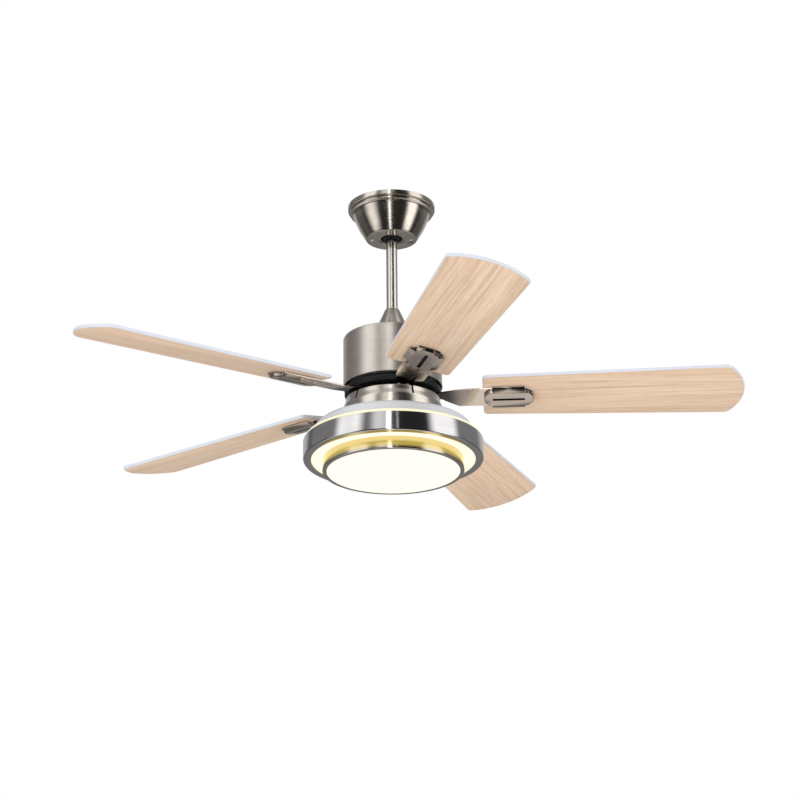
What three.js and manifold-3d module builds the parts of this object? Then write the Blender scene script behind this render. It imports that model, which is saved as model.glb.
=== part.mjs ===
// Ceiling fan with a ring light. Five wooden blades turn on a direct-drive motor, which hangs on a
// rod from a ball joint under the ceiling. Millimetres, +Z up. The origin is on the fan's axis, in
// the plane of the ceiling, so every height below it is negative.

import * as THREE from "three";
import { mergeVertices } from "three/addons/utils/BufferGeometryUtils.js";
import Module from "manifold-3d";

const wasm = await Module();
wasm.setup();

// ---------------------------------------------------------------------------------------------
// Driving dimensions
// ---------------------------------------------------------------------------------------------

const GAP = 0.3; // between two pieces that touch
const SHEET = 1.2; // thickness of the spun covers
const FACETS = { large: 32, medium: 20, small: 14, bolt: 8 }; // round pieces

const CANOPY = { rim: 83.6, neck: 73.5, floor: 47.7, hole: 24.6, top: -0.5, beads: -16.8, bottom: -69.1 };
const CANOPY_SCREW = { x: 37.2, head: 4, shank: 1.9, length: 9 };
const BRACKET = { length: 120, width: 44, sheet: 2.5, legAt: 32, legWidth: 36, disc: 44 };
const CEILING_SLOT = { x: 45, length: 16, width: 5.5 };

const BALL = { z: -48.5, radius: 25, below: -19, above: 14, bore: 11 };
const SEAT_RING = { inner: 25.6, outer: 28, below: -17, above: -2 };
const SEAT = { inner: 28.6, outer: 31.7 };

const ROD = { outer: 10.65, inner: 8.2, top: -30.5, bottom: -262 };
const PIN = { radius: 2.5, hole: 2.9, ballZ: -42.5, yokeZ: -250 };
const COUPLING = { top: -215.4, shoulder: -219.4, bottom: -275.7, neck: 12.6, waist: 15.2, foot: 40,
  bore: 11.1 };
const YOKE = { top: -236, collar: -266, radius: 15.5, flange: 30, socket: 11, web: -262.5 };

const MOTOR_COVER = { radius: 94, top: -276.1, bottom: -374.5, edge: 3 };
const SHAFT = { outer: 8.4, inner: 5, top: -267.5, bottom: -417 };
const ROTOR = { outer: 83, inner: 80, top: -300, split: -332, bottom: -373.5, hub: 22 };
const BEARING = { inner: 11, outerFrom: 14.5, outer: 17.5, height: 9, upperZ: -297, lowerZ: -369.5 };
const STATOR = { radius: 67.5, bore: 8.7, poles: 12, top: -321, bottom: -349 };
const WINDING = { inner: 34, outer: 62, height: 12 };
const MAGNETS = { inner: 70, outer: 79.7, top: -315, bottom: -355 };
const FLYWHEEL = { radius: 91, bore: 30, top: -375.5, bottom: -391 };

const HOUSING = { shoulder: 88, radius: 94, top: -398.5, flare: -418.5, bottom: -444.5 };
const HOUSING_SLOT = { count: 5, width: 4, firstAngle: -66 };
const MOUNT_PLATE = { radius: 80, thickness: 2.5 };
const DOME = { inner: 94.4, radius: 149.6, flange: 165.6, wall: 2.5, top: -440.5, shelf: -476,
  bottom: -482.5 };
const OUTER_RING = { radius: 168.8, lip: 153.9, top: -483, bottom: -519, sheet: 1.5 };
const RING_DIFFUSER = { inner: 118, outer: 165, top: -514.5, thickness: 2.7 };
const INNER_RING = { radius: 132.7, lip: 124.7, top: -518, bottom: -541.5, sheet: 1.5 };
const CENTRE_DIFFUSER = { seat: 130.8, face: 124.4, top: -536.9, bottom: -541.8 };
const PAN = { core: 91, flange: 146, top: -445, bottom: -472.5 };

const BLADE = { count: 5, firstAngle: -3, root: 170, tip: 660, corner: 630, z: -392.5, pitch: -12.8 };
const BLADE_WIDTH = { root: 125, tip: 156, thickness: 6, rootCorner: 9, tipCorner: 14 };
const ARM = { inner: 62, end: 262, thickness: 2.6 };
const PLAQUE = { inner: 172, outer: 264, width: 68, face: 43, band: 62, height: 6 };
const PLAQUE_SLOT = { length: 58, width: 5 };

// ---------------------------------------------------------------------------------------------
// Materials
// ---------------------------------------------------------------------------------------------

const finish = (color, roughness, metalness) =>
  new THREE.MeshStandardMaterial({ color, roughness, metalness });

const brushedNickel = () => finish("#b9b2a8", 0.32, 1);
const polishedNickel = () => finish("#a8a098", 0.15, 1);
const galvanised = () => finish("#9a9ca0", 0.5, 1);
const castAluminium = () => finish("#a9abae", 0.55, 0.9);
const blackEnamel = () => finish("#17181a", 0.35, 0.6);
const bearingSteel = () => finish("#c4c6c8", 0.2, 1);
const laminations = () => finish("#4a4c50", 0.6, 0.8);
const copper = () => finish("#b0683a", 0.4, 0.9);
const magnet = () => finish("#3a3a3c", 0.5, 0.4);
const oak = () => finish("#e6c9a6", 0.5, 0);
const nylon = () => finish("#e4e2da", 0.5, 0);
const acrylic = () => finish("#d8d8e6", 0.35, 0);
const litAcrylic = () => finish("#fff6dc", 0.4, 0);
const circuitBoard = () => finish("#eef0ee", 0.5, 0);
const darkPlastic = () => finish("#2b2c2e", 0.5, 0);

// ---------------------------------------------------------------------------------------------
// Solid helpers
// ---------------------------------------------------------------------------------------------

function signedVolume(geometry) {
  const { position } = geometry.attributes;
  const [a, b, c] = [new THREE.Vector3(), new THREE.Vector3(), new THREE.Vector3()];
  let sum = 0;
  for (let i = 0; i < geometry.index.count; i += 3) {
    a.fromBufferAttribute(position, geometry.index.getX(i));
    b.fromBufferAttribute(position, geometry.index.getX(i + 1));
    c.fromBufferAttribute(position, geometry.index.getX(i + 2));
    sum += a.dot(b.cross(c));
  }
  return sum / 6;
}

// A closed indexed geometry with shared vertices and its faces pointing out.
function closed(source) {
  const bare = new THREE.BufferGeometry();
  bare.setAttribute("position", source.getAttribute("position").clone());
  if (source.index) bare.setIndex(source.index.clone());
  const merged = mergeVertices(bare, 1e-3);
  if (signedVolume(merged) < 0) {
    const { array } = merged.index;
    for (let i = 0; i < array.length; i += 3) [array[i + 1], array[i + 2]] = [array[i + 2], array[i + 1]];
  }
  return merged;
}

function toManifold(geometry) {
  const g = closed(geometry);
  const mesh = new wasm.Mesh({
    numProp: 3,
    vertProperties: new Float32Array(g.attributes.position.array),
    triVerts: new Uint32Array(g.index.array),
  });
  return new wasm.Manifold(mesh);
}

function fromManifold(solid) {
  const { vertProperties, triVerts } = solid.getMesh();
  const geometry = new THREE.BufferGeometry();
  geometry.setAttribute("position", new THREE.BufferAttribute(new Float32Array(vertProperties), 3));
  geometry.setIndex(new THREE.BufferAttribute(new Uint32Array(triVerts), 1));
  return geometry;
}

const join = (...pieces) => fromManifold(pieces.map(toManifold).reduce((a, b) => a.add(b)));
const cut = (body, ...tools) =>
  fromManifold(tools.map(toManifold).reduce((rest, tool) => rest.subtract(tool), toManifold(body)));

// A profile of [radius, height] points turned about the Z axis. It closes on itself unless it
// starts and ends on the axis.
function turned(profile, facets) {
  const points = profile.map(([r, z]) => new THREE.Vector2(r, z));
  const onAxis = profile[0][0] === 0 && profile.at(-1)[0] === 0;
  if (!onAxis) points.push(points[0].clone());
  return new THREE.LatheGeometry(points, facets).rotateX(Math.PI / 2);
}

const tube = (inner, outer, bottom, top, facets) =>
  turned([[inner, bottom], [outer, bottom], [outer, top], [inner, top]], facets);

const disc = (radius, bottom, top, facets) =>
  turned([[0, bottom], [radius, bottom], [radius, top], [0, top]], facets);

const block = (x, y, z, at) => new THREE.BoxGeometry(x, y, z).translate(...at);

const boltAlongX = (radius, length, z) =>
  new THREE.CylinderGeometry(radius, radius, length, FACETS.bolt).rotateZ(Math.PI / 2).translate(0, 0, z);

// Points on an arc of a circle in the [radius, height] plane, from one angle to another.
function arc(centre, radius, from, to, steps) {
  return Array.from({ length: steps + 1 }, (_, i) => {
    const angle = from + ((to - from) * i) / steps;
    return [centre[0] + radius * Math.cos(angle), centre[1] + radius * Math.sin(angle)];
  });
}

// The same, for a sphere about the ball centre, between two heights relative to that centre.
function sphereProfile(radius, below, above, steps) {
  return arc([0, BALL.z], radius, Math.asin(below / radius), Math.asin(above / radius), steps);
}

// A flat outline, a THREE.Shape in X and Y, given a thickness from bottom up to top.
function slab(shape, bottom, top, curveSegments = 5) {
  const options = { depth: top - bottom, bevelEnabled: false, curveSegments };
  return new THREE.ExtrudeGeometry(shape, options).translate(0, 0, bottom);
}

function stadium(length, width) {
  const half = (length - width) / 2;
  const shape = new THREE.Shape();
  shape.absarc(half, 0, width / 2, -Math.PI / 2, Math.PI / 2);
  shape.absarc(-half, 0, width / 2, Math.PI / 2, (3 * Math.PI) / 2);
  shape.closePath();
  return shape;
}

// A solid through a row of sections, each a ring of the same number of points.
function loft(sections) {
  const count = sections[0].length;
  const index = [];
  for (let s = 0; s + 1 < sections.length; s++)
    for (let i = 0; i < count; i++) {
      const [a, b] = [s * count + i, s * count + ((i + 1) % count)];
      index.push(a, b, a + count, b, b + count, a + count);
    }
  const last = (sections.length - 1) * count;
  for (let i = 1; i + 1 < count; i++) index.push(0, i + 1, i, last, last + i, last + i + 1);
  const geometry = new THREE.BufferGeometry();
  geometry.setAttribute("position", new THREE.Float32BufferAttribute(sections.flat(2), 3));
  geometry.setIndex(index);
  return geometry;
}

const fan = new THREE.Group();

function piece(name, geometry, material, parent = fan) {
  const solid = closed(geometry);
  solid.computeVertexNormals();
  const mesh = new THREE.Mesh(solid, material);
  mesh.name = name;
  parent.add(mesh);
  return mesh;
}

// ---------------------------------------------------------------------------------------------
// Ceiling side: bracket, canopy and what the canopy hides
// ---------------------------------------------------------------------------------------------

// The canopy's cone bulges a little, so its profile is a line with a parabola added.
function canopyCone(inset) {
  const [steps, bulge, foot] = [4, 2.4, CANOPY.bottom + 2];
  return Array.from({ length: steps + 1 }, (_, i) => {
    const t = i / steps;
    const radius = CANOPY.neck + (CANOPY.floor + 2 - CANOPY.neck) * t + 4 * bulge * t * (1 - t);
    return [radius - inset, CANOPY.beads + (foot - CANOPY.beads) * t];
  });
}

function canopy() {
  const { rim, top, floor, hole, bottom } = CANOPY;
  const beads = [[rim, top], [rim, -9], [81.4, -11], [81.6, -14.5]];
  const outside = [...beads, ...canopyCone(0), [floor, bottom], [hole, bottom]];
  const inside = [[hole, bottom + SHEET], [floor - 0.6, bottom + SHEET]];
  const inner = [...canopyCone(SHEET).reverse(), [79.8, -11], [rim - SHEET, -8.4], [rim - SHEET, top]];
  const shell = turned([...outside, ...inside, ...inner], FACETS.large);
  return cut(shell, ...screwHoles(2.3, bottom - 1, bottom + 3));
}

function screwHoles(radius, bottom, top) {
  const { x } = CANOPY_SCREW;
  return [x, -x].map((at) => disc(radius, bottom, top, FACETS.bolt).translate(at, 0, 0));
}

// The bracket's ball seat is spherical, about the same centre as the ball.
function hangerBracket() {
  const { length, width, sheet, legAt, legWidth, disc: foot } = BRACKET;
  const floor = CANOPY.bottom + SHEET + 0.5;
  const legHeight = -floor;
  const plate = block(length, width, sheet, [0, 0, -sheet / 2]);
  const legs = [1, -1].map((side) =>
    block(sheet, legWidth, legHeight, [side * (legAt + sheet / 2), 0, -legHeight / 2]),
  );
  const seatProfile = sphereProfile(SEAT.inner, floor - BALL.z, 0, 5);
  const seat = turned([[foot, floor], [foot, floor + sheet], [SEAT.outer, floor + sheet],
    [SEAT.outer, BALL.z], ...seatProfile.reverse()], FACETS.medium);
  const webs = [1, -1].map((side) => block(4, 14, 14, [side * (SEAT.outer + 0.5), 0, floor + 8]));
  const ceilingSlot = stadium(CEILING_SLOT.length, CEILING_SLOT.width);
  const slots = [1, -1].map((side) =>
    slab(ceilingSlot, -sheet - 1, 1).translate(side * CEILING_SLOT.x, 0, 0),
  );
  return cut(join(plate, ...legs, seat, ...webs), ...slots, ...screwHoles(2.2, floor - 1, floor + 6));
}

function canopyScrew(x) {
  const { head, shank, length } = CANOPY_SCREW;
  const face = CANOPY.bottom - GAP;
  const profile = [[0, face - 2.2], [2.4, face - 1.8], [head, face - 0.6], [head, face], [shank, face],
    [shank, face + length], [0, face + length]];
  return turned(profile, FACETS.bolt).translate(x, 0, 0);
}

function addCeilingSide() {
  piece("hanger_bracket", hangerBracket(), galvanised());
  piece("canopy", canopy(), brushedNickel());
  piece("canopy_screw_left", canopyScrew(-CANOPY_SCREW.x), polishedNickel());
  piece("canopy_screw_right", canopyScrew(CANOPY_SCREW.x), polishedNickel());
  piece("receiver_box", block(56, 38, 16, [0, 0, -11]), darkPlastic());
  piece("terminal_block", block(10, 30, 12, [44, 0, -30]), nylon());
}

// ---------------------------------------------------------------------------------------------
// Ball joint, rod and coupling
// ---------------------------------------------------------------------------------------------

function seatRing() {
  const { inner, outer, below, above } = SEAT_RING;
  const [outside, inside] = [outer, inner].map((radius) => sphereProfile(radius, below, above, 4));
  return turned([...outside, ...inside.reverse()], FACETS.medium);
}

function hangerBall() {
  const outside = sphereProfile(BALL.radius, BALL.below, BALL.above, 7);
  const profile = [...outside, [BALL.bore, BALL.z + BALL.above], [BALL.bore, BALL.z + BALL.below]];
  return cut(turned(profile, FACETS.medium), boltAlongX(PIN.hole, 60, PIN.ballZ));
}

function downrod() {
  const body = tube(ROD.inner, ROD.outer, ROD.bottom, ROD.top, FACETS.small);
  return cut(body, boltAlongX(PIN.hole, 60, PIN.ballZ), boltAlongX(PIN.hole, 60, PIN.yokeZ));
}

function motorYoke() {
  const { top, collar, radius, flange, socket, web } = YOKE;
  const [foot, shaftBore] = [COUPLING.bottom, SHAFT.outer + GAP];
  const profile = [[shaftBore, foot], [flange, foot], [flange, collar], [radius, collar], [radius, top],
    [socket, top], [socket, web], [SHAFT.inner, web], [SHAFT.inner, SHAFT.top + 0.5],
    [shaftBore, SHAFT.top + 0.5]];
  return cut(turned(profile, FACETS.small), boltAlongX(PIN.hole, 60, PIN.yokeZ));
}

function yokePin() {
  const head = boltAlongX(4.2, 2, PIN.yokeZ).translate(-YOKE.radius - 1.4, 0, 0);
  const shank = boltAlongX(PIN.radius, 36, PIN.yokeZ).translate(1.2, 0, 0);
  const eye = new THREE.CylinderGeometry(0.95, 0.95, 20, 8).translate(17.6, 0, PIN.yokeZ);
  return cut(join(head, shank), eye);
}

// A cotter pin: one wire bent back on itself, through the hole in the end of the yoke pin.
function cotterPin() {
  const [wire, x, z] = [0.55, 17.6, PIN.yokeZ];
  const path = new THREE.CatmullRomCurve3([[0, 6.5], [0, 3], [0, -4], [0, -5.6], [1.6, -7], [3, -5.6],
    [3, -4], [3.4, 3], [3.8, 6]].map(([dx, y]) => new THREE.Vector3(x + dx, y, z)));
  const section = new THREE.Shape().absarc(0, 0, wire, 0, 2 * Math.PI);
  return new THREE.ExtrudeGeometry(section, { steps: 16, curveSegments: 3, extrudePath: path });
}

// A small round shoulder, then a straight cone down to the motor cover.
function couplingProfile(inset) {
  const { top, shoulder, bottom, neck, waist, foot } = COUPLING;
  const steps = 4;
  const curve = Array.from({ length: steps + 1 }, (_, i) => {
    const angle = (i / steps) * (Math.PI / 2);
    return [neck + (waist - neck) * Math.sin(angle) - inset, top + (shoulder - top) * (1 - Math.cos(angle))];
  });
  return [...curve, [foot - inset, bottom]];
}

function couplingCover() {
  const wall = 1.4;
  const outside = couplingProfile(0);
  const inside = couplingProfile(wall).slice(1).reverse().map(([r, z], i) => [r, i === 0 ? z : z - 1]);
  const neck = [[COUPLING.bore, COUPLING.top - 2.6], [COUPLING.bore, COUPLING.top]];
  return turned([...outside, ...inside, ...neck], FACETS.medium);
}

function addSuspension() {
  piece("ball_seat_ring", seatRing(), nylon());
  piece("hanger_ball", hangerBall(), darkPlastic());
  piece("ball_pin", boltAlongX(PIN.radius, 36, PIN.ballZ), galvanised());
  piece("downrod", downrod(), brushedNickel());
  piece("motor_yoke", motorYoke(), castAluminium());
  piece("yoke_pin", yokePin(), galvanised());
  piece("cotter_pin", cotterPin(), galvanised());
  piece("coupling_cover", couplingCover(), brushedNickel());
}

// ---------------------------------------------------------------------------------------------
// Motor
// ---------------------------------------------------------------------------------------------

// An inverted cup over the motor, open below, with a small radius round its top edge.
function motorCover() {
  const { radius, top, bottom, edge } = MOTOR_COVER;
  const bore = SHAFT.outer + GAP;
  const outside = [[radius, bottom], ...arc([radius - edge, top - edge], edge, 0, Math.PI / 2, 3)];
  const inside = [[radius - edge, top - SHEET], [radius - SHEET, top - edge], [radius - SHEET, bottom]];
  return turned([...outside, [bore, top], [bore, top - SHEET], ...inside], FACETS.large);
}

// A laminated core of T-shaped poles round a bored hub.
function statorCore() {
  const { radius, bore, poles, top, bottom } = STATOR;
  const [hub, stem, shoe, toe] = [26, 5, 60, 14];
  const outline = new THREE.Shape();
  for (let i = 0; i < poles; i++) {
    const turn = (i / poles) * 2 * Math.PI;
    const corners = [[hub, -stem], [shoe, -stem], [shoe + 2, -toe], [radius - 2, -toe], [radius, 0],
      [radius - 2, toe], [shoe + 2, toe], [shoe, stem], [hub, stem]];
    for (const [x, y] of corners) {
      const [px, py] = [x * Math.cos(turn) - y * Math.sin(turn), x * Math.sin(turn) + y * Math.cos(turn)];
      if (outline.curves.length || outline.currentPoint.lengthSq()) outline.lineTo(px, py);
      else outline.moveTo(px, py);
    }
  }
  outline.closePath();
  outline.holes.push(new THREE.Path().absarc(0, 0, bore, 0, 2 * Math.PI, true));
  return slab(outline, bottom, top, 8);
}

function winding(bottom) {
  const { inner, outer, height } = WINDING;
  const profile = [[inner, bottom], [outer, bottom], [outer, bottom + height * 0.6],
    [outer - 5, bottom + height], [inner + 5, bottom + height], [inner, bottom + height * 0.6]];
  return turned(profile, FACETS.small);
}

// An end bell of the rotor: a bearing hub, a disc and a skirt, from the disc's face to the split.
function rotorShell(face, hubEnd) {
  const { outer, inner, split, hub } = ROTOR;
  const thickness = 3 * Math.sign(face - split);
  const back = face - thickness;
  const bore = BEARING.outer + GAP;
  const edge = split + 0.15 * Math.sign(face - split);
  const profile = [[bore, hubEnd[0]], [bore, hubEnd[1]], [hub, hubEnd[1]], [hub, back], [inner, back],
    [inner, edge], [outer, edge], [outer, face], [hub, face], [hub, hubEnd[0]]];
  return turned(profile, FACETS.medium);
}

function addMotor() {
  const { inner, outerFrom, outer, height, upperZ, lowerZ } = BEARING;
  const raceBore = SHAFT.outer + GAP;
  piece("motor_cover", motorCover(), brushedNickel());
  const shaft = tube(SHAFT.inner, SHAFT.outer, SHAFT.bottom, SHAFT.top, FACETS.small);
  piece("motor_shaft", shaft, bearingSteel());
  piece("stator_core", statorCore(), laminations());
  piece("upper_winding", winding(STATOR.top + GAP), copper());
  piece("lower_winding", winding(0).rotateX(Math.PI).translate(0, 0, STATOR.bottom - GAP), copper());
  for (const [side, bottom] of [["upper", upperZ], ["lower", lowerZ]]) {
    const innerRace = tube(raceBore, inner, bottom, bottom + height, FACETS.small);
    const outerRace = tube(outerFrom, outer, bottom, bottom + height, FACETS.small);
    piece(`${side}_bearing_inner`, innerRace, bearingSteel());
    piece(`${side}_bearing_outer`, outerRace, bearingSteel());
  }
  piece("rotor_upper_shell", rotorShell(ROTOR.top, [upperZ + height + 1, upperZ - 6]), castAluminium());
  piece("rotor_lower_shell", rotorShell(ROTOR.bottom, [lowerZ - 4, lowerZ + height]), castAluminium());
  const magnets = tube(MAGNETS.inner, MAGNETS.outer, MAGNETS.bottom, MAGNETS.top, FACETS.medium);
  piece("magnet_ring", magnets, magnet());
  const { radius, bore, top, bottom } = FLYWHEEL;
  const profile = [[bore, bottom], [radius - 2, bottom], [radius, bottom + 2], [radius, top - 4],
    [radius - 7, top], [bore, top]];
  piece("flywheel", turned(profile, FACETS.large), blackEnamel());
}

// ---------------------------------------------------------------------------------------------
// Blades and their arms: made along +X at no pitch, then pitched and turned to their places
// ---------------------------------------------------------------------------------------------

function bladeOutline() {
  const { root, corner, tip } = BLADE;
  const [rootHalf, tipHalf] = [BLADE_WIDTH.root / 2, BLADE_WIDTH.tip / 2];
  const { rootCorner, tipCorner } = BLADE_WIDTH;
  const bulge = tip - corner;
  const arcRadius = (tipHalf ** 2 + bulge ** 2) / (2 * bulge);
  const centre = tip - arcRadius;
  const sweep = Math.asin((tipHalf - tipCorner * 0.55) / arcRadius);
  const slope = (tipHalf - rootHalf) / (corner - root);
  const shape = new THREE.Shape();
  shape.moveTo(root + rootCorner, -rootHalf - slope * rootCorner);
  shape.lineTo(corner - tipCorner, -tipHalf + slope * tipCorner);
  const [endX, endY] = [centre + arcRadius * Math.cos(sweep), arcRadius * Math.sin(sweep)];
  shape.quadraticCurveTo(corner + 1, -tipHalf, endX, -endY);
  shape.absarc(centre, 0, arcRadius, -sweep, sweep);
  shape.quadraticCurveTo(corner + 1, tipHalf, corner - tipCorner, tipHalf - slope * tipCorner);
  shape.lineTo(root + rootCorner, rootHalf + slope * rootCorner);
  shape.quadraticCurveTo(root, rootHalf, root, rootHalf - rootCorner);
  shape.lineTo(root, -rootHalf + rootCorner);
  shape.quadraticCurveTo(root, -rootHalf, root + rootCorner, -rootHalf - slope * rootCorner);
  return shape;
}

const pitched = (geometry) =>
  geometry.rotateX(THREE.MathUtils.degToRad(BLADE.pitch)).translate(0, 0, BLADE.z);

function blade() {
  const half = BLADE_WIDTH.thickness / 2;
  return pitched(slab(bladeOutline(), -half, half, 6));
}

// The arm is a pressed strip: flat under the flywheel, folded down and twisted to the blade's pitch,
// then a flat paddle against the blade's underside. The fold runs aslant, so each station gives its
// two edges as [distance from the axis, distance across], then how far the fold has gone.
function bladeArm() {
  const rootZ = FLYWHEEL.bottom - GAP - ARM.thickness / 2;
  const paddle = -(BLADE_WIDTH.thickness / 2 + GAP + ARM.thickness / 2);
  const stations = [
    { near: [ARM.inner, -13], far: [ARM.inner, 13], fold: 0 },
    { near: [80, -16], far: [80, 16], fold: 0 },
    { near: [97, -20], far: [92, 15], fold: 0 },
    { near: [112, -25], far: [103, 19], fold: 0.4 },
    { near: [129, -27], far: [114, 24], fold: 0.8 },
    { near: [145, -28], far: [124, 28], fold: 1 },
    { near: [176, -29], far: [176, 29], fold: 1 },
    { near: [ARM.end - 10, -29], far: [ARM.end - 10, 29], fold: 1 },
    { near: [ARM.end, -20], far: [ARM.end, 20], fold: 1 },
  ];
  const sections = stations.map(({ near, far, fold }) => {
    const angle = THREE.MathUtils.degToRad(BLADE.pitch) * fold;
    const [c, s] = [Math.cos(angle), Math.sin(angle)];
    const [cy, cz] = [-paddle * s * fold, rootZ + (BLADE.z + paddle * c - rootZ) * fold];
    const corners = [[near, -1], [far, -1], [far, 1], [near, 1]];
    return corners.map(([[x, y], side]) => {
      const t = (side * ARM.thickness) / 2;
      return [x, cy + y * c - t * s, cz + y * s + t * c];
    });
  });
  return loft(sections);
}

// The plaque covers the arm's paddle: a long octagon over a shorter, wider band with sloping sides,
// and a slot along its middle.
function plaque() {
  const { inner, outer, width, face, band, height } = PLAQUE;
  const top = -(BLADE_WIDTH.thickness / 2 + ARM.thickness + 2 * GAP);
  const [halfLength, halfFace, cornerX, cornerY] = [(outer - inner) / 2, face / 2, 9, 14];
  const octagon = new THREE.Shape(
    [[-halfLength + cornerX, -halfFace], [halfLength - cornerX, -halfFace], [halfLength, -halfFace + cornerY],
      [halfLength, halfFace - cornerY], [halfLength - cornerX, halfFace], [-halfLength + cornerX, halfFace],
      [-halfLength, halfFace - cornerY], [-halfLength, -halfFace + cornerY]]
      .map(([x, y]) => new THREE.Vector2(x, y)),
  );
  const plate = slab(octagon, top - height, top);
  const slopes = loft([-band / 2, band / 2].map((x) =>
    [[x, -width / 2, top - 1], [x, -halfFace, top - height + 0.4], [x, halfFace, top - height + 0.4],
      [x, width / 2, top - 1], [x, width / 2, top], [x, -width / 2, top]]));
  const slot = slab(stadium(PLAQUE_SLOT.length, PLAQUE_SLOT.width), top - height - 2, top - 2);
  return pitched(cut(join(plate, slopes), slot).translate((inner + outer) / 2, 0, 0));
}

function addBlades() {
  for (let i = 0; i < BLADE.count; i++) {
    const spoke = new THREE.Group();
    spoke.rotation.z = THREE.MathUtils.degToRad(BLADE.firstAngle + (360 / BLADE.count) * i);
    fan.add(spoke);
    piece(`blade_arm_${i + 1}`, bladeArm(), polishedNickel(), spoke);
    piece(`blade_plaque_${i + 1}`, plaque(), polishedNickel(), spoke);
    piece(`blade_${i + 1}`, blade(), oak(), spoke);
  }
}

// ---------------------------------------------------------------------------------------------
// Light kit
// ---------------------------------------------------------------------------------------------

function lowerHousing() {
  const { shoulder, radius, top, flare, bottom } = HOUSING;
  const { count, width, firstAngle } = HOUSING_SLOT;
  const edge = 3;
  const outside = [[radius, bottom], [radius, flare], [shoulder + 2, flare + 9],
    ...arc([shoulder - edge, top - edge], edge, 0, Math.PI / 2, 2)];
  const inside = [[shoulder - edge, top - SHEET], [shoulder - SHEET, top - edge], [shoulder + 0.8, flare + 9],
    [radius - SHEET, flare], [radius - SHEET, bottom]];
  const bore = SHAFT.outer + GAP;
  const shell = turned([...outside, [bore, top], [bore, top - SHEET], ...inside], FACETS.large);
  const cuts = Array.from({ length: count }, (_, i) =>
    block(16, width, top - flare + 4, [radius - 3, 0, (top + flare) / 2 + 2])
      .rotateZ(THREE.MathUtils.degToRad(firstAngle + (360 / count) * i)),
  );
  return cut(shell, ...cuts);
}

function shaftNut(top) {
  const hexagon = new THREE.CylinderGeometry(14, 14, 7, 6).rotateX(Math.PI / 2).translate(0, 0, top - 3.5);
  return cut(hexagon, disc(SHAFT.outer + GAP, top - 10, top + 3, FACETS.small));
}

function lightPan() {
  const { core, flange, top, bottom } = PAN;
  const [sheet, hole] = [1.5, 20];
  const profile = [[hole, top], [core, top], [core, bottom + sheet], [flange, bottom + sheet],
    [flange, bottom], [core - sheet, bottom], [core - sheet, top - sheet], [hole, top - sheet]];
  return turned(profile, FACETS.large);
}

// The upper diffuser: a shallow dome with a round shoulder, then a step out to a rim that stands on
// the outer ring.
function upperDiffuser() {
  const { inner, radius, flange, top, wall, shelf, bottom } = DOME;
  const shoulder = 15;
  const shoulderAt = [radius - shoulder, shelf + 9.5];
  const [crown, lean] = [[inner + 20, top - 5], 1.25];
  const outer = [[inner, top], crown, ...arc(shoulderAt, shoulder, lean, 0, 3), [radius, shelf],
    [flange, shelf - 1], [flange, bottom]];
  const innerSide = [[flange - wall, bottom], [flange - wall, shelf - 1 - wall],
    [radius - wall, shelf - wall], ...arc(shoulderAt, shoulder - wall, 0, lean, 3),
    [crown[0], crown[1] - wall], [inner, top - wall]];
  return turned([...outer, ...innerSide], FACETS.large);
}

function outerRing() {
  const { radius, lip, top, bottom, sheet } = OUTER_RING;
  const profile = [[radius, top], [radius, bottom + 2], [radius - 1.5, bottom], [lip, bottom],
    [lip, bottom + sheet], [radius - 2, bottom + sheet], [radius - sheet, bottom + 3],
    [radius - sheet, top]];
  return turned(profile, FACETS.large);
}

function innerRing() {
  const { radius, lip, top, bottom, sheet } = INNER_RING;
  const profile = [[radius, top], [radius, bottom + 1.5], [radius - 1.5, bottom], [lip, bottom],
    [lip, bottom + sheet], [radius - sheet, bottom + sheet], [radius - sheet, top]];
  return turned(profile, FACETS.large);
}

function innerPan() {
  const [core, foot, floor, sheet] = [117, 129.6, -504.5, 1.2];
  const [top, bottom] = [PAN.bottom - 4, INNER_RING.top - 0.4];
  const profile = [[0, floor], [core - sheet, floor], [core - sheet, top], [core, top], [core, bottom],
    [foot, bottom], [foot, bottom - sheet], [core - sheet, bottom - sheet], [core - sheet, floor - sheet],
    [0, floor - sheet]];
  return turned(profile, FACETS.medium);
}

function addLightKit() {
  const { top } = HOUSING;
  const plateTop = top - SHEET - GAP;
  const plateBottom = plateTop - MOUNT_PLATE.thickness;
  const shaftBore = SHAFT.outer + GAP;
  const plate = tube(shaftBore, MOUNT_PLATE.radius, plateBottom, plateTop, FACETS.medium);
  piece("lower_mount_plate", plate, galvanised());
  piece("shaft_nut", shaftNut(plateBottom - GAP), galvanised());
  piece("lower_housing", lowerHousing(), brushedNickel());
  piece("capacitor", block(46, 24, 22, [0, 0, SHAFT.bottom - 14]), darkPlastic());
  piece("light_pan", lightPan(), galvanised());
  piece("led_driver", block(90, 44, 24, [0, 0, PAN.top - 16]), nylon());
  piece("upper_diffuser", upperDiffuser(), acrylic());
  const upperBoard = PAN.bottom + 1.5 + GAP;
  piece("upper_led_board", tube(100, 140, upperBoard, upperBoard + 1.6, FACETS.medium), circuitBoard());
  const outerBoard = PAN.bottom - GAP;
  piece("outer_led_board", tube(120, 144, outerBoard - 1.6, outerBoard, FACETS.medium), circuitBoard());
  piece("inner_pan", innerPan(), galvanised());
  piece("centre_led_board", disc(112, -507.7, -506.1, FACETS.medium), circuitBoard());
  piece("outer_ring", outerRing(), brushedNickel());
  const ring = RING_DIFFUSER;
  const ringBottom = ring.top - ring.thickness;
  piece("ring_diffuser", tube(ring.inner, ring.outer, ringBottom, ring.top, FACETS.large), litAcrylic());
  piece("inner_ring", innerRing(), brushedNickel());
  const { seat, face, top: back, bottom: front } = CENTRE_DIFFUSER;
  const step = INNER_RING.bottom + INNER_RING.sheet + GAP;
  const profile = [[0, front], [face - 1, front], [face, front + 0.8], [face, step], [seat, step],
    [seat, back], [0, back]];
  piece("centre_diffuser", turned(profile, FACETS.large), litAcrylic());
}

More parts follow.
